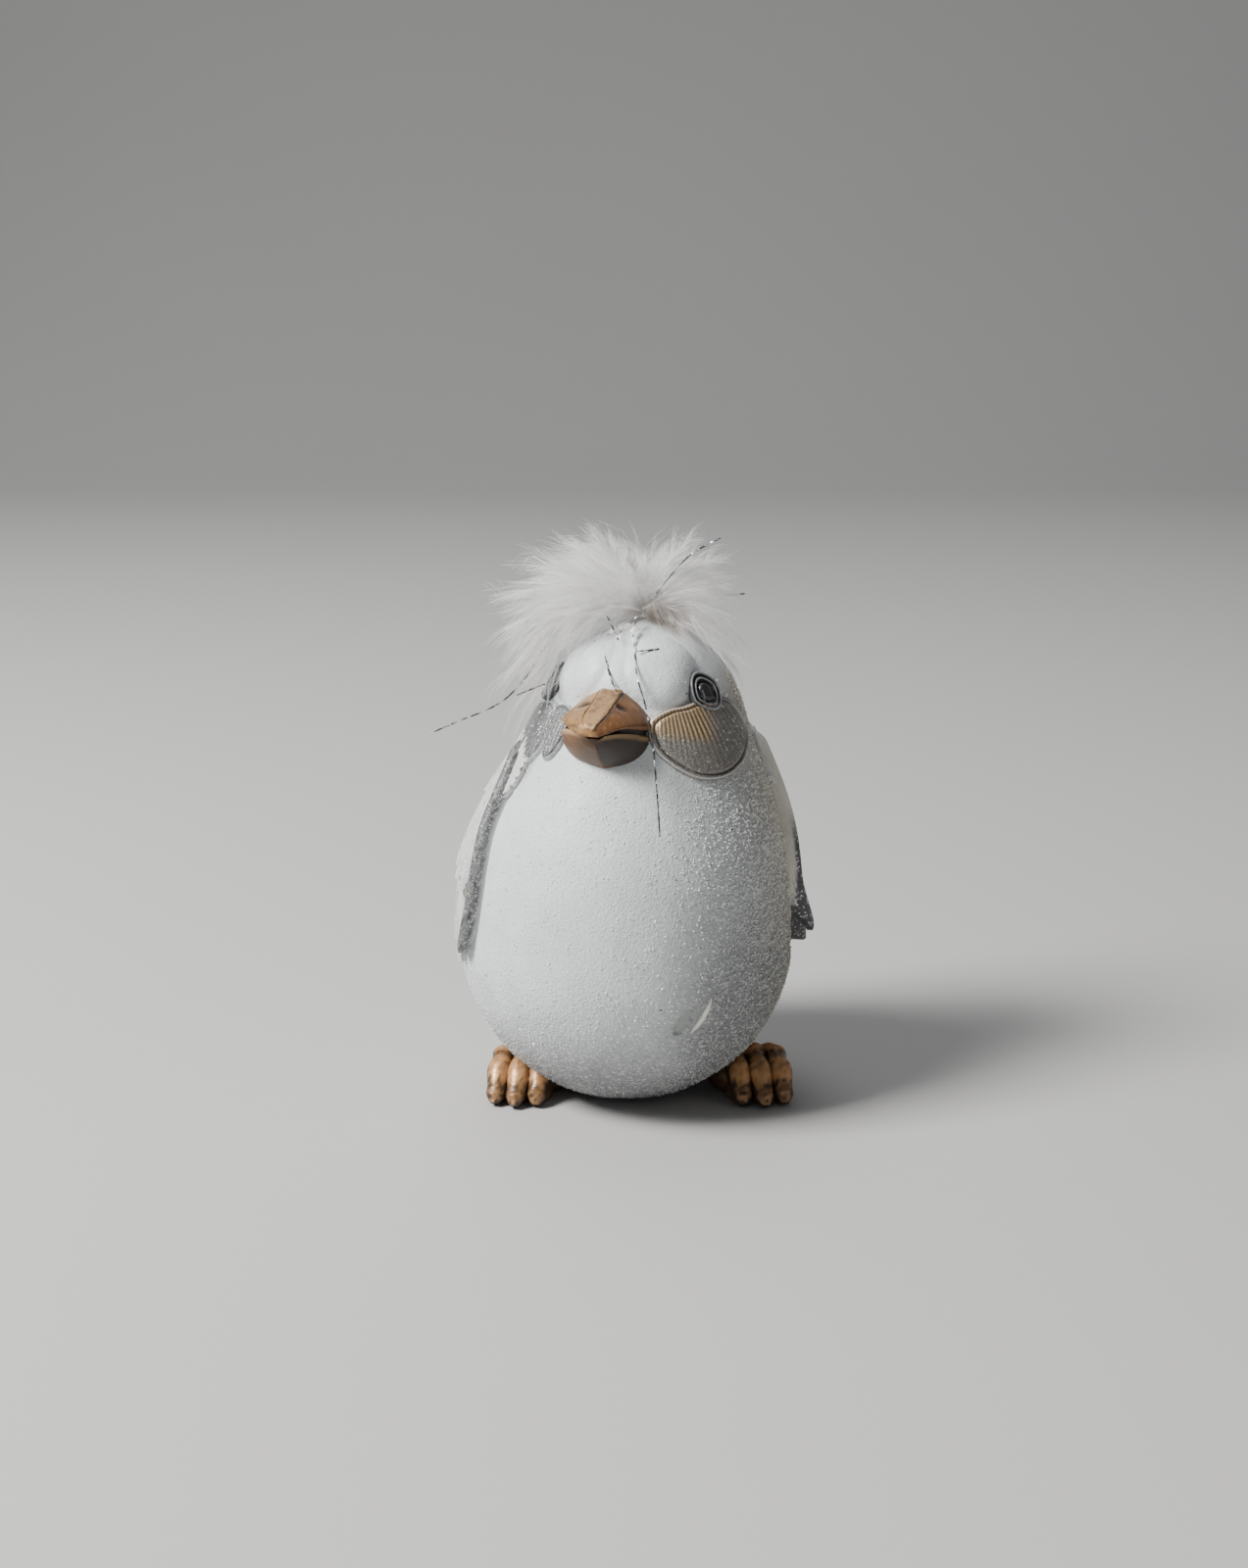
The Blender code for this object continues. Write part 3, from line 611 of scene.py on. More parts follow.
def upper_ring(forward, plate, side, top, mouth):
    rise = top - mouth
    half = [
        (0.0, top), (0.8 * plate, top), (plate, top - 0.13 * rise), (1.12 * plate, top - 0.08 * rise),
        (0.5 * (plate + side) + 0.06 * side, mouth + 0.58 * rise), (side, mouth + 0.2 * rise),
        (0.98 * side, mouth + 0.04 * rise), (0.9 * side, mouth), (0.5 * side, mouth),
    ]
    ring = half + [(-across, z) for across, z in reversed(half[1:])]
    ring = smooth_path(ring, 6, closed=True)
    points = []
    for across, z in ring:
        hole = math.exp(-(((forward - NOSTRIL[0]) / 0.7) ** 2 + ((z - NOSTRIL[1]) / 0.55) ** 2))
        points.append(beak_point(forward, across - math.copysign(1.1 * hole, across), z))
    return points


def upper_finish(row, spoke, point):
    forward, across, z = head_place(point)
    patchy = 0.5 + 0.35 * noise.noise(point * 0.5) + 0.3 * noise.noise(point * 1.7)
    station = min(max(forward, 14.0), 34.2)
    plate_edge = 2.6 if station < 30.5 else 2.6 - 0.4 * (station - 30.5)
    tone = mixed(TAN, RUST, eased(plate_edge - 0.2, plate_edge + 0.5, across))
    tone = mixed(tone, BROWN, 0.75 * eased(0.5, 0.72, patchy))
    tone = mixed(tone, LIP, 0.5 * eased(0.62, 0.9, 1 - patchy))
    crease = math.exp(-(((across - plate_edge - 0.05) / 0.3) ** 2))
    tone = mixed(tone, BLACK, 0.85 * crease * eased(12.0, 20.0, forward))
    hole = math.exp(-(((forward - NOSTRIL[0]) / 0.8) ** 2 + ((z - NOSTRIL[1]) / 0.6) ** 2))
    tone = mixed(tone, BLACK, min(1.0, 1.7 * hole) if abs(across) > 3.0 else 0.0)
    return (*tone, 0.2, 0.1, 0.45)


upper = loft("upper_beak", [upper_ring(*s) for s in smooth_path(UPPER_BEAK, 7)], upper_finish)
belongs(upper, "bird_figure", bronze_paint)
print("upper beak, mm", tuple(side / MM for side in upper.dimensions))

# %% [markdown]
# The lower shell is a shallow bowl with a soft keel. Its lip is rolled and rubbed pale,
# one flank is nearly black, the top of the other is darkened as painted shade under the
# upper shell, a pale band along the keel is a painted highlight, and a near-black block
# between the shells is painted shade in the mouth.

# %% The lower beak and the dark of the mouth
LOWER_BEAK = (
    (14.0, 8.2, 87.4, 81.6), (19.0, 9.0, 87.7, 80.3), (23.0, 8.7, 88.7, 80.6),
    (26.5, 7.3, 89.7, 82.2), (29.5, 5.1, 90.2, 84.8), (31.5, 2.7, 90.0, 87.2),
)


def lower_ring(forward, side, lip, bottom):
    ring = [(share * side, lip - 0.7) for share in (0.6, 0.3, 0.0, -0.3, -0.6)]
    ring += [(-0.76 * side, lip - 0.45), (-0.86 * side, lip + 0.1), (-0.94 * side, lip + 0.15)]
    for i in range(31):
        turn = math.pi * i / 30
        keel = 0.35 * math.exp(-(((turn - math.pi / 2) / 0.22) ** 2))
        deep = (lip - 0.4 - bottom) * math.sin(turn) ** 0.85
        ring.append((-side * math.cos(turn), lip - 0.3 - deep - keel))
    ring += [(0.94 * side, lip + 0.15), (0.86 * side, lip + 0.1), (0.76 * side, lip - 0.45)]
    return [beak_point(forward, across, z) for across, z in ring]


lower_stations = smooth_path(LOWER_BEAK, 7)


def lower_finish(row, spoke, point):
    forward, across, z = head_place(point)
    side, lip = lower_stations[row][1], lower_stations[row][2]
    patchy = 0.5 + 0.5 * noise.noise(point * 0.6)
    down = (lip - z) / 8.0
    dark = eased(0.0, 0.5, across) * eased(14.5, 19.5, forward) * (1 - eased(0.78, 1.1, down))
    tone = mixed(BROWN, RUST, 0.6 * patchy)
    tone = mixed(tone, BLACK, 0.9 * dark * eased(0.2, 0.45, 0.4 + 0.5 * patchy))
    # Painted shade: the top of the bird's right half is darkened under the upper shell.
    shade_under_upper = eased(-6.5, -1.5, across) * (1 - eased(0.0, 0.5, across)) * eased(1.15, 0.7, down)
    tone = mixed(tone, (0.075, 0.042, 0.022), 0.7 * shade_under_upper)
    # Painted highlight: a pale band along the keel of the lower shell.
    keel_highlight = math.exp(-(((across - 0.2) / 0.22) ** 2))
    tone = mixed(tone, LIP, 0.22 * keel_highlight * eased(0.15, 0.3, down))
    rim = eased(0.95, 0.2, lip - z) * eased(0.6, 0.8, abs(across) / side + 0.25 * eased(26.0, 31.0, forward))
    tone = mixed(tone, LIP, 0.85 * rim)
    return (*tone, 0.0, 0.1, 0.05)


lower = loft("lower_beak", [lower_ring(*s) for s in lower_stations], lower_finish)
belongs(lower, "bird_figure", bronze_paint)


def mouth_ring(forward, side, lip, bottom):
    half, reach = side - 0.55, min(forward, 29.5) - 1.2
    corners = ((half, lip - 2.0), (half, lip + 3.0), (-half, lip + 3.0), (-half, lip - 2.0))
    return [beak_point(reach, across, z) for across, z in corners]


mouth_rings = [mouth_ring(*s) for s in LOWER_BEAK[:-1]]
# The block is near-black: painted shade inside the slot between the shells.
mouth = loft("mouth_inside", mouth_rings, lambda *_: (0.012, 0.009, 0.008, 0.0, 0.1, 0.3))
belongs(mouth, "bird_figure", bronze_paint)
print("lower beak, mm", tuple(side / MM for side in lower.dimensions))

# %% [markdown]
# Each wing is a raised leaf along the side. Its front edge is a rounded wall, white on
# the bird's left and carrying a band of silver glitter on its right. Behind the wall
# the feathers lie in three steps, each one a leaf with a shaft down its middle.

# %% The wings' front walls
WING_FRONT = ((96, 83), (88, 80), (82, 73), (79, 66), (75, 58), (74, 49), (78, 39), (82, 34.5))
RIM_PROFILE = ((-1.7, -1.8), (-1.6, 1.3), (-0.9, 2.7), (0.2, 3.1), (1.2, 2.6), (1.8, 1.4), (1.7, -1.8))
CREAM = (0.78, 0.76, 0.67)
GREY_GLITTER = (0.20, 0.205, 0.215)


def flare(side, z):
    return {-1: 0.3, 1: 3.0}[side] * (1 - eased(34.0, 52.0, z))


rim_section = smooth_path(RIM_PROFILE, 4, closed=True)


def rim_ring(i, last, angle, z, side):
    end = min(i, last - i)
    size = 0.45 + 0.55 * eased(0.0, 9.0, end)
    ring = []
    for across, lift in rim_section:
        raised = lift * size + flare(side, z) if lift > 0 else lift
        pointed = 1.5 * max(0.0, 2.6 + flare(side, z) - raised) * eased(14.0, 0.0, last - i)
        turn, height = beside(angle, z + pointed, across * size, 0.0)
        ring.append(skin(BODY_TURN + side * turn, height, raised))
    return ring


def rim_finish(side, path):
    def finish(row, spoke, point):
        across, lift = rim_section[spoke]
        z = path[row][1]
        patchy = 0.5 + 0.5 * noise.noise(point * 1.4)
        if side < 0:
            band = eased(1.0, 1.25, lift)
            top = eased(74.0, 80.0, z)
            silver = max(band, top)
            line = math.exp(-(((lift - 0.4) / 0.25) ** 2))
            tone = mixed(WHITE, GREY_GLITTER, silver)
            tone = mixed(tone, (0.12, 0.12, 0.125), 0.85 * line)
            tone = mixed(tone, SOOT, 0.8 * silver * eased(0.45, 0.7, patchy))
            return (*tone, 0.5 * silver, 0.6 + 0.4 * silver, 0.3)
        edge = 1.6 - 4.0 * eased(54.0, 37.0, z)
        tip = eased(66.0, 58.0, z) * eased(edge, edge + 0.8, lift + 0.4 * (patchy - 0.5))
        tone = mixed(CREAM, (0.10, 0.10, 0.11), tip)
        return (*tone, 0.4 * tip, 0.25 + 0.6 * tip, 0.3)
    return finish


for side, name in ((-1, "wing_left"), (1, "wing_right")):
    path = smooth_path(WING_FRONT, 8)
    rings = [rim_ring(i, len(path) - 1, *place, side) for i, place in enumerate(path)]
    wall = loft(name + "_wall", rings, rim_finish(side, path))
    belongs(wall, "bird_figure", silver_glitter if side < 0 else white_coat)
    print(wall.name, "rings", len(rings))

# %% [markdown]
# One feather is a leaf: narrow at the root, widest past the middle and blunt at the tip,
# with a raised shaft and faint slanting barbs. A row of them is the same leaf at evenly
# spaced tips, and the three rows overlap like tiles.

# %% The wings' feathers
FEATHER_ROWS = (
    ("primary", 66.0, (86.0, 33.8), (117.0, 47.5), 5, 9.0, 0.9, 1.4),
    ("middle", 71.0, (83.0, 50.0), (116.0, 56.5), 5, 10.0, 1.2, 2.5),
    ("shoulder", 84.0, (86.0, 66.5), (112.0, 71.0), 4, 11.0, 1.2, 2.3),
)
BARREL = ((0.66,), (0.94,), (1.0,), (0.74,), (0.26,))
LEAF = (
    (-1.0, -0.5), (-0.45, -0.05), (-0.08, 0.1), (0.0, 0.32), (0.08, 0.1), (0.55, -0.1), (1.0, -0.7),
)


def feather_ring(share, barrel, root, tip, width, root_lift, tip_lift, side):
    angle, z = mixed(root, tip, share)
    lift = root_lift + (tip_lift - root_lift) * share + flare(side, z)
    half = 0.5 * width * barrel
    section = smooth_path(LEAF, 3) + [(0.9, -2.2 - lift), (0.0, -2.2 - lift), (-0.9, -2.2 - lift)]
    ring = []
    for across, rise in section:
        barbs = 0.07 * math.sin((share * 26.0 + abs(across) * 3.0) * 3.0) if rise > -1.0 else 0.0
        turn, height = beside(angle, z, across * half, 0.0)
        ring.append(skin(BODY_TURN + side * turn, height, lift + rise + barbs))
    return ring


def feather_finish(side):
    def finish(row, spoke, point):
        patchy = 0.5 + 0.5 * noise.noise(point * 0.35)
        low = eased(60.0, 44.0, point.z)
        worn = (0.35 + 0.5 * low) * eased(0.45, 0.75, patchy)
        tone = mixed((0.70, 0.71, 0.69), (0.36, 0.37, 0.38), worn)
        if side > 0:
            tone = mixed(tone, (0.10, 0.10, 0.11), low)
        return (*tone, 0.15, 0.8, 0.3)
    return finish


for side, name in ((-1, "left"), (1, "right")):
    for row, root_z, first, final, count, width, root_lift, tip_lift in FEATHER_ROWS:
        for i in range(count):
            tip = mixed(first, final, i / (count - 1))
            root = (87.0 + 0.82 * (tip[0] - first[0]), root_z)
            barrels = smooth_path(BARREL, 6)
            rings = [
                feather_ring(k / 24, barrel[0], root, tip, width, root_lift, tip_lift - 0.12 * i, side)
                for k, barrel in enumerate(barrels)
            ]
            leaf = loft(f"{row}_feather_{name}_{i}", rings, feather_finish(side))
            belongs(leaf, "bird_figure", silver_glitter)
print("feathers on each wing", sum(row[4] for row in FEATHER_ROWS))

# %% [markdown]
# The tail can't be seen in the photograph. It is three plain feathers that stand off
# the back, in keeping with the wings.

# %% The tail
TAIL_CUT = ((0.0, 0.8, 1.0), (0.4, 1.0, 0.9), (0.75, 0.95, 0.6), (0.93, 0.6, 0.4), (1.0, 0.2, 0.15))


def tail_ring(i, share, wide, thick):
    away = outward(180.0 + BODY_TURN + i * 13.0)
    aside = Vector((0.0, 0.0, 1.0)).cross(away)
    share *= 1.0 if i == 0 else 0.9
    reach, z = mixed((28.0, 41.0), (49.0, 25.0), share)
    middle = away * reach + Vector((0.0, 0.0, z - 0.8 * abs(i)))
    ring = []
    for k in range(24):
        turn = 2 * math.pi * k / 24
        top = math.sin(turn) > 0
        shaft = 0.45 * math.exp(-((math.cos(turn) / 0.12) ** 2)) if top else 0.0
        barbs = 0.12 * math.sin(3.0 * (26.0 * share + 3.0 * abs(math.cos(turn)))) if top else 0.0
        up = 2.0 * thick * math.copysign(abs(math.sin(turn)) ** 0.7, math.sin(turn)) + shaft + barbs
        ring.append(middle + aside * (6.5 * wide * math.cos(turn)) + Vector((0.0, 0.0, up)))
    return ring


for i in (-1, 1, 0):
    rings = [tail_ring(i, *cut) for cut in smooth_path(TAIL_CUT, 10)]
    tail = loft(f"tail_feather_{i + 1}", rings, feather_finish(-1))
    belongs(tail, "bird_figure", silver_glitter)
print("tail feather, mm", tuple(side / MM for side in tail.dimensions))

# %% [markdown]
# The feet are three fat toes each, with knuckles, painted copper. Black wash has run
# into the folds, so the tone gets darker on the sides of a toe and where it narrows.

# %% The shape and finish of a toe
TOE_KNUCKLES = (
    (-4.5, 7.0, 2.2), (-1.0, 8.0, 3.0), (2.2, 7.6, 2.4), (5.6, 6.2, 3.0),
    (8.8, 3.7, 2.4), (11.0, 2.2, 2.2), (12.5, 0.9, 1.0),
)
TOE_GAP, FOOT_SPLAY, FOOT_SPOKES = 4.7, 9.0, 28
COPPER = (0.66, 0.34, 0.14)
UP = Vector((0.0, 0.0, 1.0))


def foot_frame(side):
    """Where a foot starts, which way it points and which way is beside it."""
    origin = Vector((2.6 + side * 26.6, -4.5, 0.0))
    return origin, outward(side * FOOT_SPLAY), outward(side * FOOT_SPLAY + 90.0)


def toe_ring(side, toe, length, forward, z, radius):
    origin, ahead, aside = foot_frame(side)
    reach = forward * length if forward > 0 else forward
    spread = TOE_GAP * toe * (1.0 if forward > 0 else 0.75)
    middle = origin + ahead * reach + aside * spread + UP * z
    lean = eased(0.0, 9.0, forward) * 0.9
    rise = UP * math.cos(lean) + ahead * math.sin(lean)
    ring = []
    for k in range(FOOT_SPOKES):
        turn = 2 * math.pi * k / FOOT_SPOKES
        wrinkle = 0.2 * math.sin(forward * 4.2 + 1.3 * toe) * max(0.0, math.sin(turn)) ** 2
        reach_out = radius + wrinkle
        point = middle + aside * (reach_out * math.cos(turn)) + rise * (reach_out * math.sin(turn))
        point.z = max(point.z, 0.0)
        ring.append(point)
    return ring


def toe_finish(knuckles):
    def finish(row, spoke, point):
        turn = 2 * math.pi * spoke / FOOT_SPOKES
        patchy = 0.5 + 0.5 * noise.noise(point * 0.9)
        narrow = eased(2.75, 2.35, knuckles[row][2])
        flank = eased(0.72, 0.98, abs(math.cos(turn)))
        under = eased(0.1, -0.4, math.sin(turn))
        fold = eased(0.35, 0.9, math.sin(knuckles[row][0] * 1.7 + 9.0 * patchy))
        stain = 0.35 * fold + 0.5 * eased(0.5, 0.7, patchy)
        dark = min(1.0, 0.5 * narrow + flank + 0.8 * under + stain)
        tone = mixed(COPPER, BLACK, 0.92 * dark)
        tone = mixed(tone, (0.62, 0.40, 0.24), 0.5 * eased(0.55, 0.8, 1 - patchy) * (1 - dark))
        return (*tone, 0.3, 0.35, 0.5)
    return finish


print("points along a toe", len(TOE_KNUCKLES))

# %% [markdown]
# Under each toe is a flat sole, and an ankle joins the toes under the belly. They are
# rounded lumps cut off at the ground, so that the figure really stands on them.

# %% The toes, soles and ankles
def pad(name, middle, axes, radii, tone):
    """A rounded lump, cut flat where it would go into the ground."""
    rings = []
    for row in range(1, 16):
        lat = math.pi * row / 16
        ring = []
        for k in range(FOOT_SPOKES):
            turn = 2 * math.pi * k / FOOT_SPOKES
            flat = axes[0] * (radii[0] * math.cos(turn)) + axes[1] * (radii[1] * math.sin(turn))
            point = middle + flat * math.sin(lat) + axes[2] * (radii[2] * math.cos(lat))
            point.z = max(point.z, 0.0)
            ring.append(point)
        rings.append(ring)
    made = loft(name, rings, lambda row, spoke, point: (*tone, 0.3, 0.15, 0.5))
    return belongs(made, "bird_figure", bronze_paint)


for side, name in ((-1, "left"), (1, "right")):
    origin, ahead, aside = foot_frame(side)
    for toe in (-1, 0, 1):
        length = (0.88, 1.0, 0.92)[1 + side * toe]
        knuckles = smooth_path(TOE_KNUCKLES, 5)
        rings = [toe_ring(side, toe, length, *knuckle) for knuckle in knuckles]
        made = loft(f"toe_{name}_{toe + 1}", rings, toe_finish(knuckles))
        belongs(made, "bird_figure", bronze_paint)
        sole = origin + ahead * (4.0 * length) + aside * (TOE_GAP * toe) + UP * 1.6
        radii = (2.5, 6.6 * length, 3.6)
        pad(f"sole_{name}_{toe + 1}", sole, (aside, ahead, UP), radii, mixed(BLACK, COPPER, 0.3))
    ankle = origin - ahead * 4.0 - aside * (side * 2.0) + UP * 3.6
    pad(f"ankle_{name}", ankle, (aside, ahead, UP), (8.6, 8.0, 6.5), (0.15, 0.08, 0.04))
print("toe, mm", tuple(side / MM for side in made.dimensions))

# %% [markdown]
# The white coat is full of coarse glitter, which reads as sugar low on its left. A
# bump alone would leave the outline too clean, so the larger grains are real: little
# eight-sided crystals, half sunk, scattered by a seeded generator with more of them
# where the photograph shows more.

# %% Grains on the coat
chance = np.random.default_rng(11)
CRYSTAL = np.array([(1, 0, 0), (-1, 0, 0), (0, 1, 0), (0, -1, 0), (0, 0, 1), (0, 0, -1)], dtype=float)
CRYSTAL_FACES = np.array([
    (0, 2, 4), (2, 1, 4), (1, 3, 4), (3, 0, 4), (2, 0, 5), (1, 2, 5), (3, 1, 5), (0, 3, 5),
])
GRAINS, SPARKS, SPECKS = 17000, 200, 70


def grain_wanted(angle, z):
    turn = (angle + 180.0) % 360.0 - 180.0
    if peel(angle, z) > 0.02 or z > 99.0:
        return 0.0
    if 78.0 < z and abs(turn - HEAD_TURN) < 95.0:
        return 0.05
    if 33.0 < z < 84.0 and abs(abs(turn - BODY_TURN) - 98.0) < 28.0:
        return 0.0
    return 0.07 + 0.93 * grain_share(turn, z)


def crystal(angle, z, size, sunk, stretch):
    """One grain in the coat, turned by chance."""
    turn = Matrix.Rotation(float(chance.uniform(0, math.tau)), 3, Vector(chance.normal(size=3)))
    shape = CRYSTAL * (size * chance.uniform(0.7, 1.3, (1, 3))) if stretch else CRYSTAL * size
    grain_points.append(skin(angle, z, body_lift(angle, z) + sunk * size))
    grain_shapes.append(shape @ np.array(turn))


grain_points = []
grain_shapes = []
while len(grain_points) < GRAINS:
    z = float(chance.uniform(1.5, 99.0))
    angle = float(chance.uniform(-180.0, 180.0))
    if chance.random() > body_radius(z) / 38.0 * grain_wanted(angle, z):
        continue
    size = float(chance.uniform(0.13, 0.30)) * (0.72 + 0.6 * eased(-10.0, 60.0, angle))
    crystal(angle, z, size, 0.3, True)
# On the smooth chest only a few: bright sparks, then black specks
for number in range(SPARKS + SPECKS):
    z = float(chance.uniform(26.0, 96.0))
    angle = float(chance.uniform(-75.0, 60.0))
    while z > 78.0 and abs(angle - HEAD_TURN) > 14.0 and z < 95.0:
        z = float(chance.uniform(26.0, 96.0))
    size = float(chance.uniform(0.16, 0.30)) if number < SPARKS else float(chance.uniform(0.10, 0.17))
    crystal(angle, z, size, 0.25, False)
print("grains", len(grain_points))

# %% [markdown]
# All grains are one mesh, because each has only eight faces. Their tone follows the coat
# under them: warmer on the side and darker low down, both painted shade, bright for a
# spark, black for a speck.

# %% The grains as one mesh
corners = np.concatenate([shape + np.array(place) for place, shape in zip(grain_points, grain_shapes)]) * MM
faces = (CRYSTAL_FACES[None] + 6 * np.arange(len(grain_points))[:, None, None]).reshape(-1, 3)
grain_mesh = bpy.data.meshes.new("coat_grains")
grain_mesh.from_pydata(corners.tolist(), [], faces.tolist())
grains = bpy.data.objects.new("coat_grains", grain_mesh)
bpy.context.scene.collection.objects.link(grains)
grain_turn = [math.degrees(math.atan2(p.x, -p.y)) for p in grain_points]
# Painted shade on the grains: warmer on the bird's left side, darker underneath and low on the left.
warm_shade_share = np.array([eased(40.0, 90.0, turn) for turn in grain_turn])
grain_tone = np.array((0.80, 0.82, 0.82)) - warm_shade_share[:, None] * np.array((0.06, 0.10, 0.20))
grain_shade = np.array([shaded_side(turn, p.z) for turn, p in zip(grain_turn, grain_points)])
grain_tone *= 1 - 0.45 * grain_shade[:, None]
grain_tone[-SPARKS - SPECKS:-SPECKS] = 1.0
grain_tone[-SPECKS:] = 0.02
glint = (chance.random(len(grain_points)) > 0.93).astype(float)
glint[-SPECKS:] = 0.0
grain_marks = np.c_[grain_tone, 0.5 * glint, 0.3 + 0 * glint, 0.45 + 0.55 * glint]
store(grains, np.repeat(grain_marks, 6, axis=0))
belongs(grains, "bird_figure", white_coat)
print("grain triangles", len(grain_mesh.polygons))

# %% [markdown]
# The crest is marabou: soft quills glued into one spot, each with hundreds of long, fine
# barbs. A barb is far too thin to be carved, so it is a closed sliver with three sides
# that tapers to nothing. The quills follow the same arches as the construction plumes,
# and each barb leaves its quill at a slant, bends toward the tip and sags a little.

# %% The down's finish
def down_material():
    material, tree = new_tree("white down")
    place = node(tree, "ShaderNodeTexCoord").outputs["Object"]
    clumps = node(tree, "ShaderNodeTexNoise", {"Vector": place, "Scale": 240.0, "Detail": 4.0})
    shade = mix_colour(tree, clumps.outputs[0], (0.98, 0.98, 0.98, 1.0), (0.92, 0.91, 0.90, 1.0))
    # Painted shadow: the down is darkened to brown close to the glued root.
    root_shadow_middle = {0: place, 1: (0.0062, -0.0035, 0.1090)}
    away = node(tree, "ShaderNodeVectorMath", root_shadow_middle, operation="DISTANCE").outputs["Value"]
    near = node(tree, "ShaderNodeMapRange", {0: away, 1: 0.002, 2: 0.0085, 3: 0.75, 4: 0.0}).outputs[0]
    shade = mix_colour(tree, near, shade, (0.42, 0.34, 0.27, 1.0))
    # Painted light: a faint emission of the down's own colour makes it glow, standing in for light scattered
    # among the barbs.
    matt_and_painted_glow = node(tree, "ShaderNodeBsdfPrincipled", {
        "Base Color": shade, "Roughness": 0.75, "Sheen Weight": 0.3,
        "Emission Color": shade, "Emission Strength": 0.2,
    })
    glow = node(tree, "ShaderNodeBsdfTranslucent", {"Color": shade})
    both = node(tree, "ShaderNodeMixShader", {0: 0.45, 1: matt_and_painted_glow.outputs[0], 2: glow.outputs[0]})
    node(tree, "ShaderNodeOutputMaterial", {"Surface": both.outputs[0]})
    return material


white_down = down_material()
print("down finish", white_down.name)

# %% [markdown]
# The quills rise from one glued spot and arch over to their tips, with a low ruff round
# the root. Where a quill comes down past the crown it is held off the head.

# %% The crest's quills
CREST_TIPS = (
    ((-28.0, -4.0, 114.5), 5.0), ((-30.0, -7.0, 105.0), 9.0), ((-28.5, -9.0, 96.0), 14.0),
    ((-25.5, -10.0, 85.5), 20.0), ((-22.0, 2.0, 121.5), 3.0), ((-14.5, 7.0, 126.0), 2.0),
    ((-8.0, 2.0, 128.5), 1.0), ((-0.5, -7.0, 126.0), 1.0), ((8.5, 6.0, 124.5), 1.0),
    ((15.2, -2.0, 129.5), 1.0), ((21.0, 8.0, 122.5), 2.0), ((23.5, 2.0, 115.5), 4.0),
    ((25.5, -2.0, 105.0), 9.0), ((25.0, -5.0, 95.5), 14.0), ((-12.0, 19.0, 117.0), 5.0),
    ((4.0, 24.0, 112.0), 8.0), ((16.0, 18.0, 113.0), 7.0),
)
CREST_START = Vector((3.2, -0.5, 111.6))
# A low ruff round the root, open toward the face
RUFF_TIPS = tuple(
    ((3.2 + reach * math.sin(math.radians(turn)), -0.5 - reach * math.cos(math.radians(turn)), height), 3.0)
    for turn, reach, height in (
        (50, 14, 106.5), (75, 17, 105.0), (100, 19, 107.0), (140, 16, 108.0), (180, 15, 108.0),
        (-150, 16, 108.0), (-110, 19, 107.0), (-80, 18, 105.5), (-62, 15, 107.0),
    )
)


def clear_of_head(point, margin):
    if point.z >= CROWN:
        return point
    middle = Vector((body_middle(point.z), 0.0, point.z))
    spoke = point - middle
    return middle + spoke.normalized() * max(spoke.length, body_radius(point.z) + margin)


def quill(tip, arch, steps=40):
    bend = CREST_START.lerp(tip, 0.42) + UP * (arch + 3.0)
    path = []
    for i in range(steps + 1):
        t = i / steps
        point = CREST_START * (1 - t) ** 2 + bend * (2 * t * (1 - t)) + tip * t * t
        path.append(clear_of_head(point, 2.6 * min(1.0, 3 * t)) if t > 0 else point)
    return np.array(path)


print("quills", len(CREST_TIPS), "and in the ruff", len(RUFF_TIPS))

# %% [markdown]
# Barbs cling together: a lock of six leaves the quill at one place, bends one way and
# then frays. All choices are drawn from the seeded generator, a lock at a time.

# %% The crest's barbs
BARBS, BARB_STEPS, LOCK = 900, 5, 6
# Above this height a barb is bent down, so that the crest keeps its top
CREST_TOP = 130.5


def unit(vectors):
    return vectors / np.linalg.norm(vectors, axis=-1, keepdims=True)


def barbs_on(path, count):
    """Centre lines of the barbs on one quill, as an array of barb, step and place."""
    length = np.linalg.norm(path[-1] - path[0])
    locks = count // LOCK
    where = chance.beta(1.0, 1.5, locks) * 0.86
    slant = chance.uniform(0.15, 1.25, locks) * (1.15 - 0.45 * where)
    reach = chance.uniform(0.25, 0.66, locks) * length * (1.05 - 0.55 * where)
    sag = chance.uniform(0.3, 3.4, locks)
    wave = chance.normal(size=(locks, 3))
    phase = chance.uniform(0.0, math.tau, locks)
    spin = chance.normal(size=(locks, 3))
    where, slant, reach, sag, wave, phase, spin = (
        np.repeat(values, LOCK, axis=0) for values in (where, slant, reach, sag, wave, phase, spin)
    )
    total = len(where)
    where = np.clip(where + chance.normal(size=total) * 0.012, 0.0, 0.95)
    reach = reach * chance.uniform(0.7, 1.1, total)
    index = where * (len(path) - 1)
    low = index.astype(int)
    root = path[low] + (path[low + 1] - path[low]) * (index - low)[:, None]
    along = unit(path[low + 1] - path[low])
    around = unit(np.cross(along, spin))
    heading = unit(along * np.cos(slant)[:, None] + around * np.sin(slant)[:, None])
    loose = chance.normal(size=(total, 3)) * chance.uniform(0.2, 0.9, (total, 1))
    lines = np.empty((total, BARB_STEPS, 3))
    for step in range(BARB_STEPS):
        t = step / (BARB_STEPS - 1)
        lean = unit(heading * (1 - 0.45 * t) + along * 0.45 * t)
        lines[:, step] = root + lean * (reach * t)[:, None]
        lines[:, step, 2] -= sag * t * t
        lines[:, step] += wave * (t * np.sin(phase + 4.2 * t))[:, None] + loose * (t * (1.2 - 0.5 * t))
    return lines


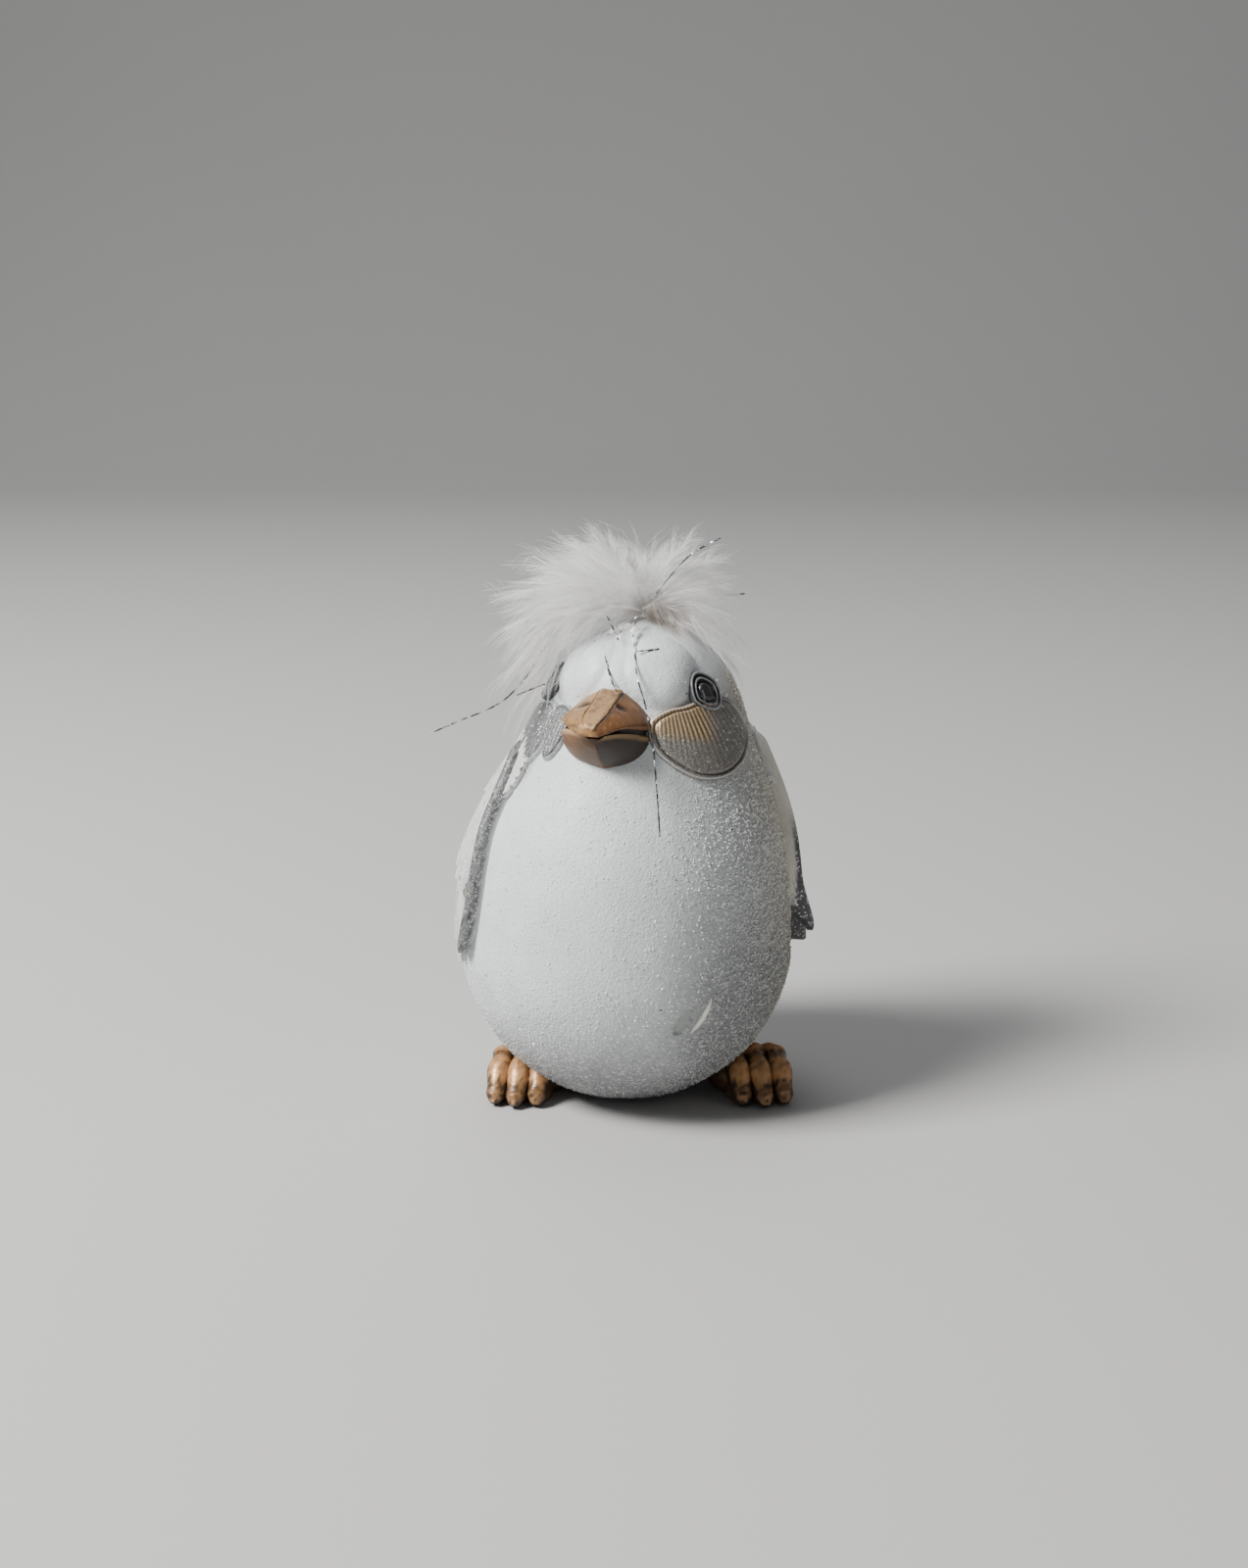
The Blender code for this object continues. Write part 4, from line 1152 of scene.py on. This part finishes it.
def off_the_head(lines, margin=0.5):
    """Barbs that would go into the head are laid on it, and high ones are bent down."""
    flat = lines.reshape(-1, 3)
    for row in flat:
        z = row[2]
        if z > CREST_TOP:
            row[2] = CREST_TOP + 0.45 * (z - CREST_TOP)
        if z < CROWN + 1.0:
            middle = body_middle(z)
            spoke = np.array((row[0] - middle, row[1]))
            over_brows = 2.2 * eased(90.0, 98.0, z) * eased(109.0, 103.0, z)
            least = body_radius(min(z, CROWN - 0.02)) + margin + over_brows
            far = np.linalg.norm(spoke)
            if far < least and far > 1e-6:
                row[:2] = np.array((middle, 0.0)) + spoke / far * least
    return flat.reshape(lines.shape)


print("barbs on a quill", BARBS, "in locks of", LOCK)

# %% [markdown]
# A barb's mesh is a sliver with three sides, closed at both ends, and thinner toward its
# tip. Neighbouring quills share one object, so that each stays light enough to handle.

# %% The down as slivers
def slivers(name, lines, wide):
    """Closed three-sided slivers round the centre lines."""
    count, steps, _ = lines.shape
    along = unit(np.gradient(lines, axis=1))
    aside = unit(np.cross(along, np.array((0.13, 0.31, 0.94))))
    over = np.cross(along, aside)
    taper = np.linspace(1.0, 0.22, steps) * wide
    corners = []
    for k in range(3):
        turn = math.tau * k / 3
        corners.append(lines + (aside * math.cos(turn) + over * math.sin(turn)) * taper[None, :, None])
    corners = np.stack(corners, axis=2).reshape(-1, 3) * MM
    faces = []
    for step in range(steps - 1):
        for k in range(3):
            a, b = 3 * step + k, 3 * step + (k + 1) % 3
            faces += [(a, b, b + 3), (a, b + 3, a + 3)]
    faces += [(2, 1, 0), (3 * steps - 3, 3 * steps - 2, 3 * steps - 1)]
    faces = (np.array(faces)[None] + 3 * steps * np.arange(count)[:, None, None]).reshape(-1, 3)
    mesh = bpy.data.meshes.new(name)
    mesh.from_pydata(corners.tolist(), [], faces.tolist())
    mesh.shade_smooth()
    made = bpy.data.objects.new(name, mesh)
    bpy.context.scene.collection.objects.link(made)
    return belongs(made, "feather_crest", white_down)


GROUPS = (
    ("left", CREST_TIPS[:4], BARBS), ("top_left", CREST_TIPS[4:8], BARBS),
    ("top_right", CREST_TIPS[8:12], BARBS), ("right_back", CREST_TIPS[12:], BARBS),
    ("ruff", RUFF_TIPS, BARBS // 2),
)
for name, members, count in GROUPS:
    lines = np.concatenate([barbs_on(quill(Vector(tip), arch), count) for tip, arch in members])
    made = slivers("down_" + name, off_the_head(lines), 0.052)
    print(made.name, "triangles", len(made.data.polygons))
quills = np.stack([quill(Vector(tip), arch, 5) for tip, arch in CREST_TIPS])
slivers("down_quills", off_the_head(quills), 0.16)

# %% [markdown]
# A few strands of metallised film got caught in the down. Each is a flat strip that
# twists as it goes, with bright and dark stretches painted along it as highlights and
# reflections.

# %% Where the tinsel threads run
THREADS = {
    "tinsel_thread_face": (
        (-14.2, 111.6, 7.7), (-12.4, 106.8, 2.1), (-8.7, 104.4, 2.0), (-4.6, 99.2, 3.3), (-0.2, 94.7, 4.0),
        (2.4, 90.5, 4.6), (4.9, 85.7, 4.0), (6.5, 79.9, 3.7), (8.0, 74.1, 3.1), (9.2, 68.2, 2.5),
    ),
    "tinsel_thread_up": (
        (14.9, 115.2, 6.2), (34.4, 119.6, 8.5), (48.4, 124.5, 12.0), (56.5, 127.4, 15.6), (61.1, 129.1, 18.6),
    ),
    "tinsel_thread_far_left": (
        (-103.8, 87.4, 8.5), (-106.0, 82.4, 11.6), (-107.7, 76.8, 16.1), (-108.7, 71.3, 20.9),
    ),
    "tinsel_thread_temple": ((-53.4, 95.3, 7.2), (-55.5, 93.5, 9.7), (-56.7, 91.9, 11.9)),
    "tinsel_thread_forehead": (
        (-37.0, 104.6, 1.9), (-30.2, 102.7, 1.9), (-23.9, 100.2, 2.1), (-18.0, 97.6, 2.9), (-14.7, 96.3, 4.0),
    ),
    "tinsel_thread_cross": ((-5.5, 103.6, 2.9), (2.5, 104.0, 2.5), (11.2, 104.3, 2.3)),
    "tinsel_thread_far_right": (
        (128.0, 113.8, 14.6), (128.3, 113.3, 19.4), (127.1, 112.8, 24.8), (127.7, 112.6, 29.4),
    ),
    "tinsel_thread_glue": ((-45.4, 111.8, 11.4), (-32.8, 106.7, 4.2), (-22.7, 105.2, 3.1)),
}
# Stretches that only the down hides
HELD_IN_DOWN = {"tinsel_thread_far_left": ((-75.0, 108.0, 6.0), (-92.0, 101.0, 5.5), (-100.0, 94.0, 6.0))}
print("threads", len(THREADS))

# %% [markdown]
# The film is metal laid on plastic. Its bright stretches are painted highlights and its dark
# ones a painted dark reflection, so both the tone and the metal come from the strand's own vertices.

# %% The film's finish
# The tone along a strand: white where it catches the light, then silver, then dark as a painted reflection
GLINT, FILM, DARK_REFLECTION = (0.95, 0.95, 0.97), (0.55, 0.56, 0.58), (0.05, 0.05, 0.055)


def film_material():
    material, tree = new_tree("silver film")
    place = node(tree, "ShaderNodeTexCoord").outputs["Object"]
    tone = node(tree, "ShaderNodeAttribute", attribute_name="tone").outputs["Color"]
    metal = node(tree, "ShaderNodeAttribute", attribute_name="metal").outputs["Fac"]
    flecks = node(tree, "ShaderNodeTexVoronoi", {"Vector": place, "Scale": 1300.0})
    worn = node(tree, "ShaderNodeTexNoise", {"Vector": place, "Scale": 420.0, "Detail": 3.0})
    pick = node(tree, "ShaderNodeSeparateColor", {0: flecks.outputs["Color"]})
    # Painted glints: random cells of the film are lightened.
    lit = maths(tree, "GREATER_THAN", pick.outputs[0], 0.86)
    shade = mix_colour(tree, lit, tone, (0.78, 0.78, 0.80, 1.0))
    rough = maths(tree, "MULTIPLY_ADD", worn.outputs[0], 0.3)
    tree.nodes[-1].inputs[2].default_value = 0.08
    shader = node(tree, "ShaderNodeBsdfPrincipled", {
        "Base Color": shade, "Metallic": metal, "Roughness": rough,
    })
    node(tree, "ShaderNodeOutputMaterial", {"Surface": shader.outputs[0]})
    return material


silver_film = film_material()
print("film finish", silver_film.name)

# %% [markdown]
# A strand is a thin flat section carried along its path and turned a little at each
# step. The one over the face is wider at its root, where two strips lie together.

# %% The strands
def strip(name, places):
    on_face = name == "tinsel_thread_face"
    places = HELD_IN_DOWN.get(name, ()) + places
    path = [Vector(point) for point in smooth_path([skin(*place) for place in places], 8)]
    rings = []
    for i, middle in enumerate(path):
        along = (path[min(i + 1, len(path) - 1)] - path[max(i - 1, 0)]).normalized()
        aside = along.cross(Vector((0.2, 0.9, 0.3))).normalized()
        over = along.cross(aside)
        twist = 0.55 * i
        flat = aside * math.cos(twist) + over * math.sin(twist)
        thin = over * math.cos(twist) - aside * math.sin(twist)
        wide = 0.36 if on_face and i <= 16 else 0.17
        slim = thin * 0.09
        ring = [flat * wide + slim, flat * -wide + slim, flat * -wide - slim, flat * wide - slim]
        rings.append([middle + corner for corner in ring])

    def film_finish(row, spoke, point):
        # Painted highlights and reflections: white, silver and dark stretches along the strand.
        if on_face and 5 < row < 17:
            return (*GLINT, 0.0, 0.0, 1.0)
        if on_face and row < 28:
            return (*(GLINT if row % 4 < 2 else DARK_REFLECTION), 0.2, 0.0, 1.0)
        if on_face:
            return (*DARK_REFLECTION, 0.2, 0.0, 0.6)
        return (*(DARK_REFLECTION if row % 7 < 5 else FILM), 0.6, 0.0, 1.0)

    made = loft(name + "_film", rings, film_finish)
    return belongs(made, name, silver_film)


for name, places in THREADS.items():
    strand = strip(name, places)
    print(strand.name, "vertices", len(strand.data.vertices))

# %% [markdown]
# Dried glue holds the down: pale, glossy beads at the front of the root. Each is a
# flattened ball, leaned back to lie along the forehead.

# %% The glue
GLUE_SPOTS = (
    (-0.6, -6.4, 109.0, 1.5), (-2.9, -7.2, 108.3, 1.2), (1.4, -7.6, 108.5, 1.0), (-1.4, -9.0, 107.6, 0.8),
)
GLUE_LEAN = (Vector((1.0, 0.0, 0.0)), Vector((0.0, 0.8, 0.6)), Vector((0.0, -0.6, 0.8)))
BEAD_SPOKES, BEAD_ROWS = 16, 10


def bead_ring(middle, size, lat):
    wide, deep, high = GLUE_LEAN
    ring = []
    for k in range(BEAD_SPOKES):
        turn = k * math.tau / BEAD_SPOKES
        across = wide * (size * 1.3 * math.cos(turn) * math.sin(lat))
        along = deep * (size * math.sin(turn) * math.sin(lat))
        ring.append(middle + across + along + high * (0.6 * size * math.cos(lat)))
    return ring


glue_paint = resin("clear dry glue", cell=900.0, raised=0.0001, lean=0.1, speck=0.0, coat=0.8)
for number, (x, y, z, size) in enumerate(GLUE_SPOTS):
    rings = [bead_ring(Vector((x, y, z)), size, math.pi * row / BEAD_ROWS) for row in range(1, BEAD_ROWS)]
    bead = loft(f"glue_bead_{number}", rings, lambda *_: (0.85, 0.85, 0.82, 0.0, 0.2, 1.0))
    belongs(bead, "bird_figure", glue_paint)
print("glue beads", len(GLUE_SPOTS))

# %% [markdown]
# A plain pale floor that bends up into a backdrop, like a roll of studio paper. The
# plane's far edge is pulled up and the corner is rounded, so that no line shows.

# %% The floor
def plain_material(name, colour):
    material, tree = new_tree(name)
    place = node(tree, "ShaderNodeTexCoord").outputs["Object"]
    faint = node(tree, "ShaderNodeTexNoise", {"Vector": place, "Scale": 6.0, "Detail": 3.0})
    shade = mix_colour(tree, faint.outputs[0], (*colour, 1.0), (*(0.97 * c for c in colour), 1.0))
    shader = node(tree, "ShaderNodeBsdfPrincipled", {"Base Color": shade, "Roughness": 0.85})
    node(tree, "ShaderNodeOutputMaterial", {"Surface": shader.outputs[0]})
    return material


bpy.ops.object.select_all(action="DESELECT")
bpy.ops.mesh.primitive_plane_add(size=4.0, location=(0.0, 0.0, 0.0))
floor = bpy.context.object
floor.name = "studio_floor"
bpy.ops.object.mode_set(mode="EDIT")
bpy.ops.mesh.select_all(action="DESELECT")
bpy.ops.object.mode_set(mode="OBJECT")
for edge in floor.data.edges:
    edge.select = all(floor.data.vertices[k].co.y > 1.9 for k in edge.vertices)
bpy.ops.object.mode_set(mode="EDIT")
bpy.ops.mesh.extrude_region_move(TRANSFORM_OT_translate={"value": (0.0, 0.0, 3.0)})
bpy.ops.object.mode_set(mode="OBJECT")
bend = floor.modifiers.new("soft corner", "BEVEL")
bend.width = 0.8
bend.segments = 12
bpy.ops.object.modifier_apply(modifier=bend.name)
bpy.ops.object.shade_smooth()
floor.data.materials.append(plain_material("pale studio paper", (0.52, 0.515, 0.51)))
print("floor faces", len(floor.data.polygons))

# %% [markdown]
# Soft light comes from the upper left, as in the photograph, with a faint warm fill from
# the right and a little from behind on the down. Every lamp is turned to the bird.

# %% The light
def softbox(name, place, size, power, colour):
    lamp = bpy.data.lights.new(name, "AREA")
    lamp.size = size
    lamp.energy = power
    lamp.color = colour
    holder = bpy.data.objects.new(name, lamp)
    holder.location = place
    holder.rotation_euler = (Vector((0.0, 0.0, 0.06)) - Vector(place)).to_track_quat("-Z", "Y").to_euler()
    bpy.context.scene.collection.objects.link(holder)
    return holder


key = softbox("key_light", (-0.85, -0.35, 0.95), 0.45, 35.0, (1.0, 0.99, 0.97))
fill = softbox("fill_light", (0.9, -0.4, 0.5), 0.8, 0.5, (1.0, 0.88, 0.76))
top = softbox("top_light", (-0.1, 0.5, 1.1), 0.7, 4.0, (1.0, 1.0, 1.0))
world = bpy.data.worlds.new("soft room")
world.use_nodes = True
world.node_tree.nodes["Background"].inputs["Color"].default_value = (0.72, 0.75, 0.80, 1.0)
world.node_tree.nodes["Background"].inputs["Strength"].default_value = 0.17
bpy.context.scene.world = world
print("lamps, watts", key.data.energy, fill.data.energy, top.data.energy)

# %% [markdown]
# The camera stands where the photograph was taken from: close, a little above the
# figure, and looking down at it by 14 degrees.

# %% The camera
LOOK_DOWN = 14.2
lens = bpy.data.cameras.new("photo_camera")
lens.lens = 50.0
lens.sensor_width = 36.0
camera = bpy.data.objects.new("photo_camera", lens)
camera.location = (-0.001, -0.478, 0.193)
camera.rotation_euler = (math.radians(90.0 - LOOK_DOWN), 0.0, 0.0)
bpy.context.scene.collection.objects.link(camera)
bpy.context.scene.camera = camera
print("camera, metres", tuple(camera.location))
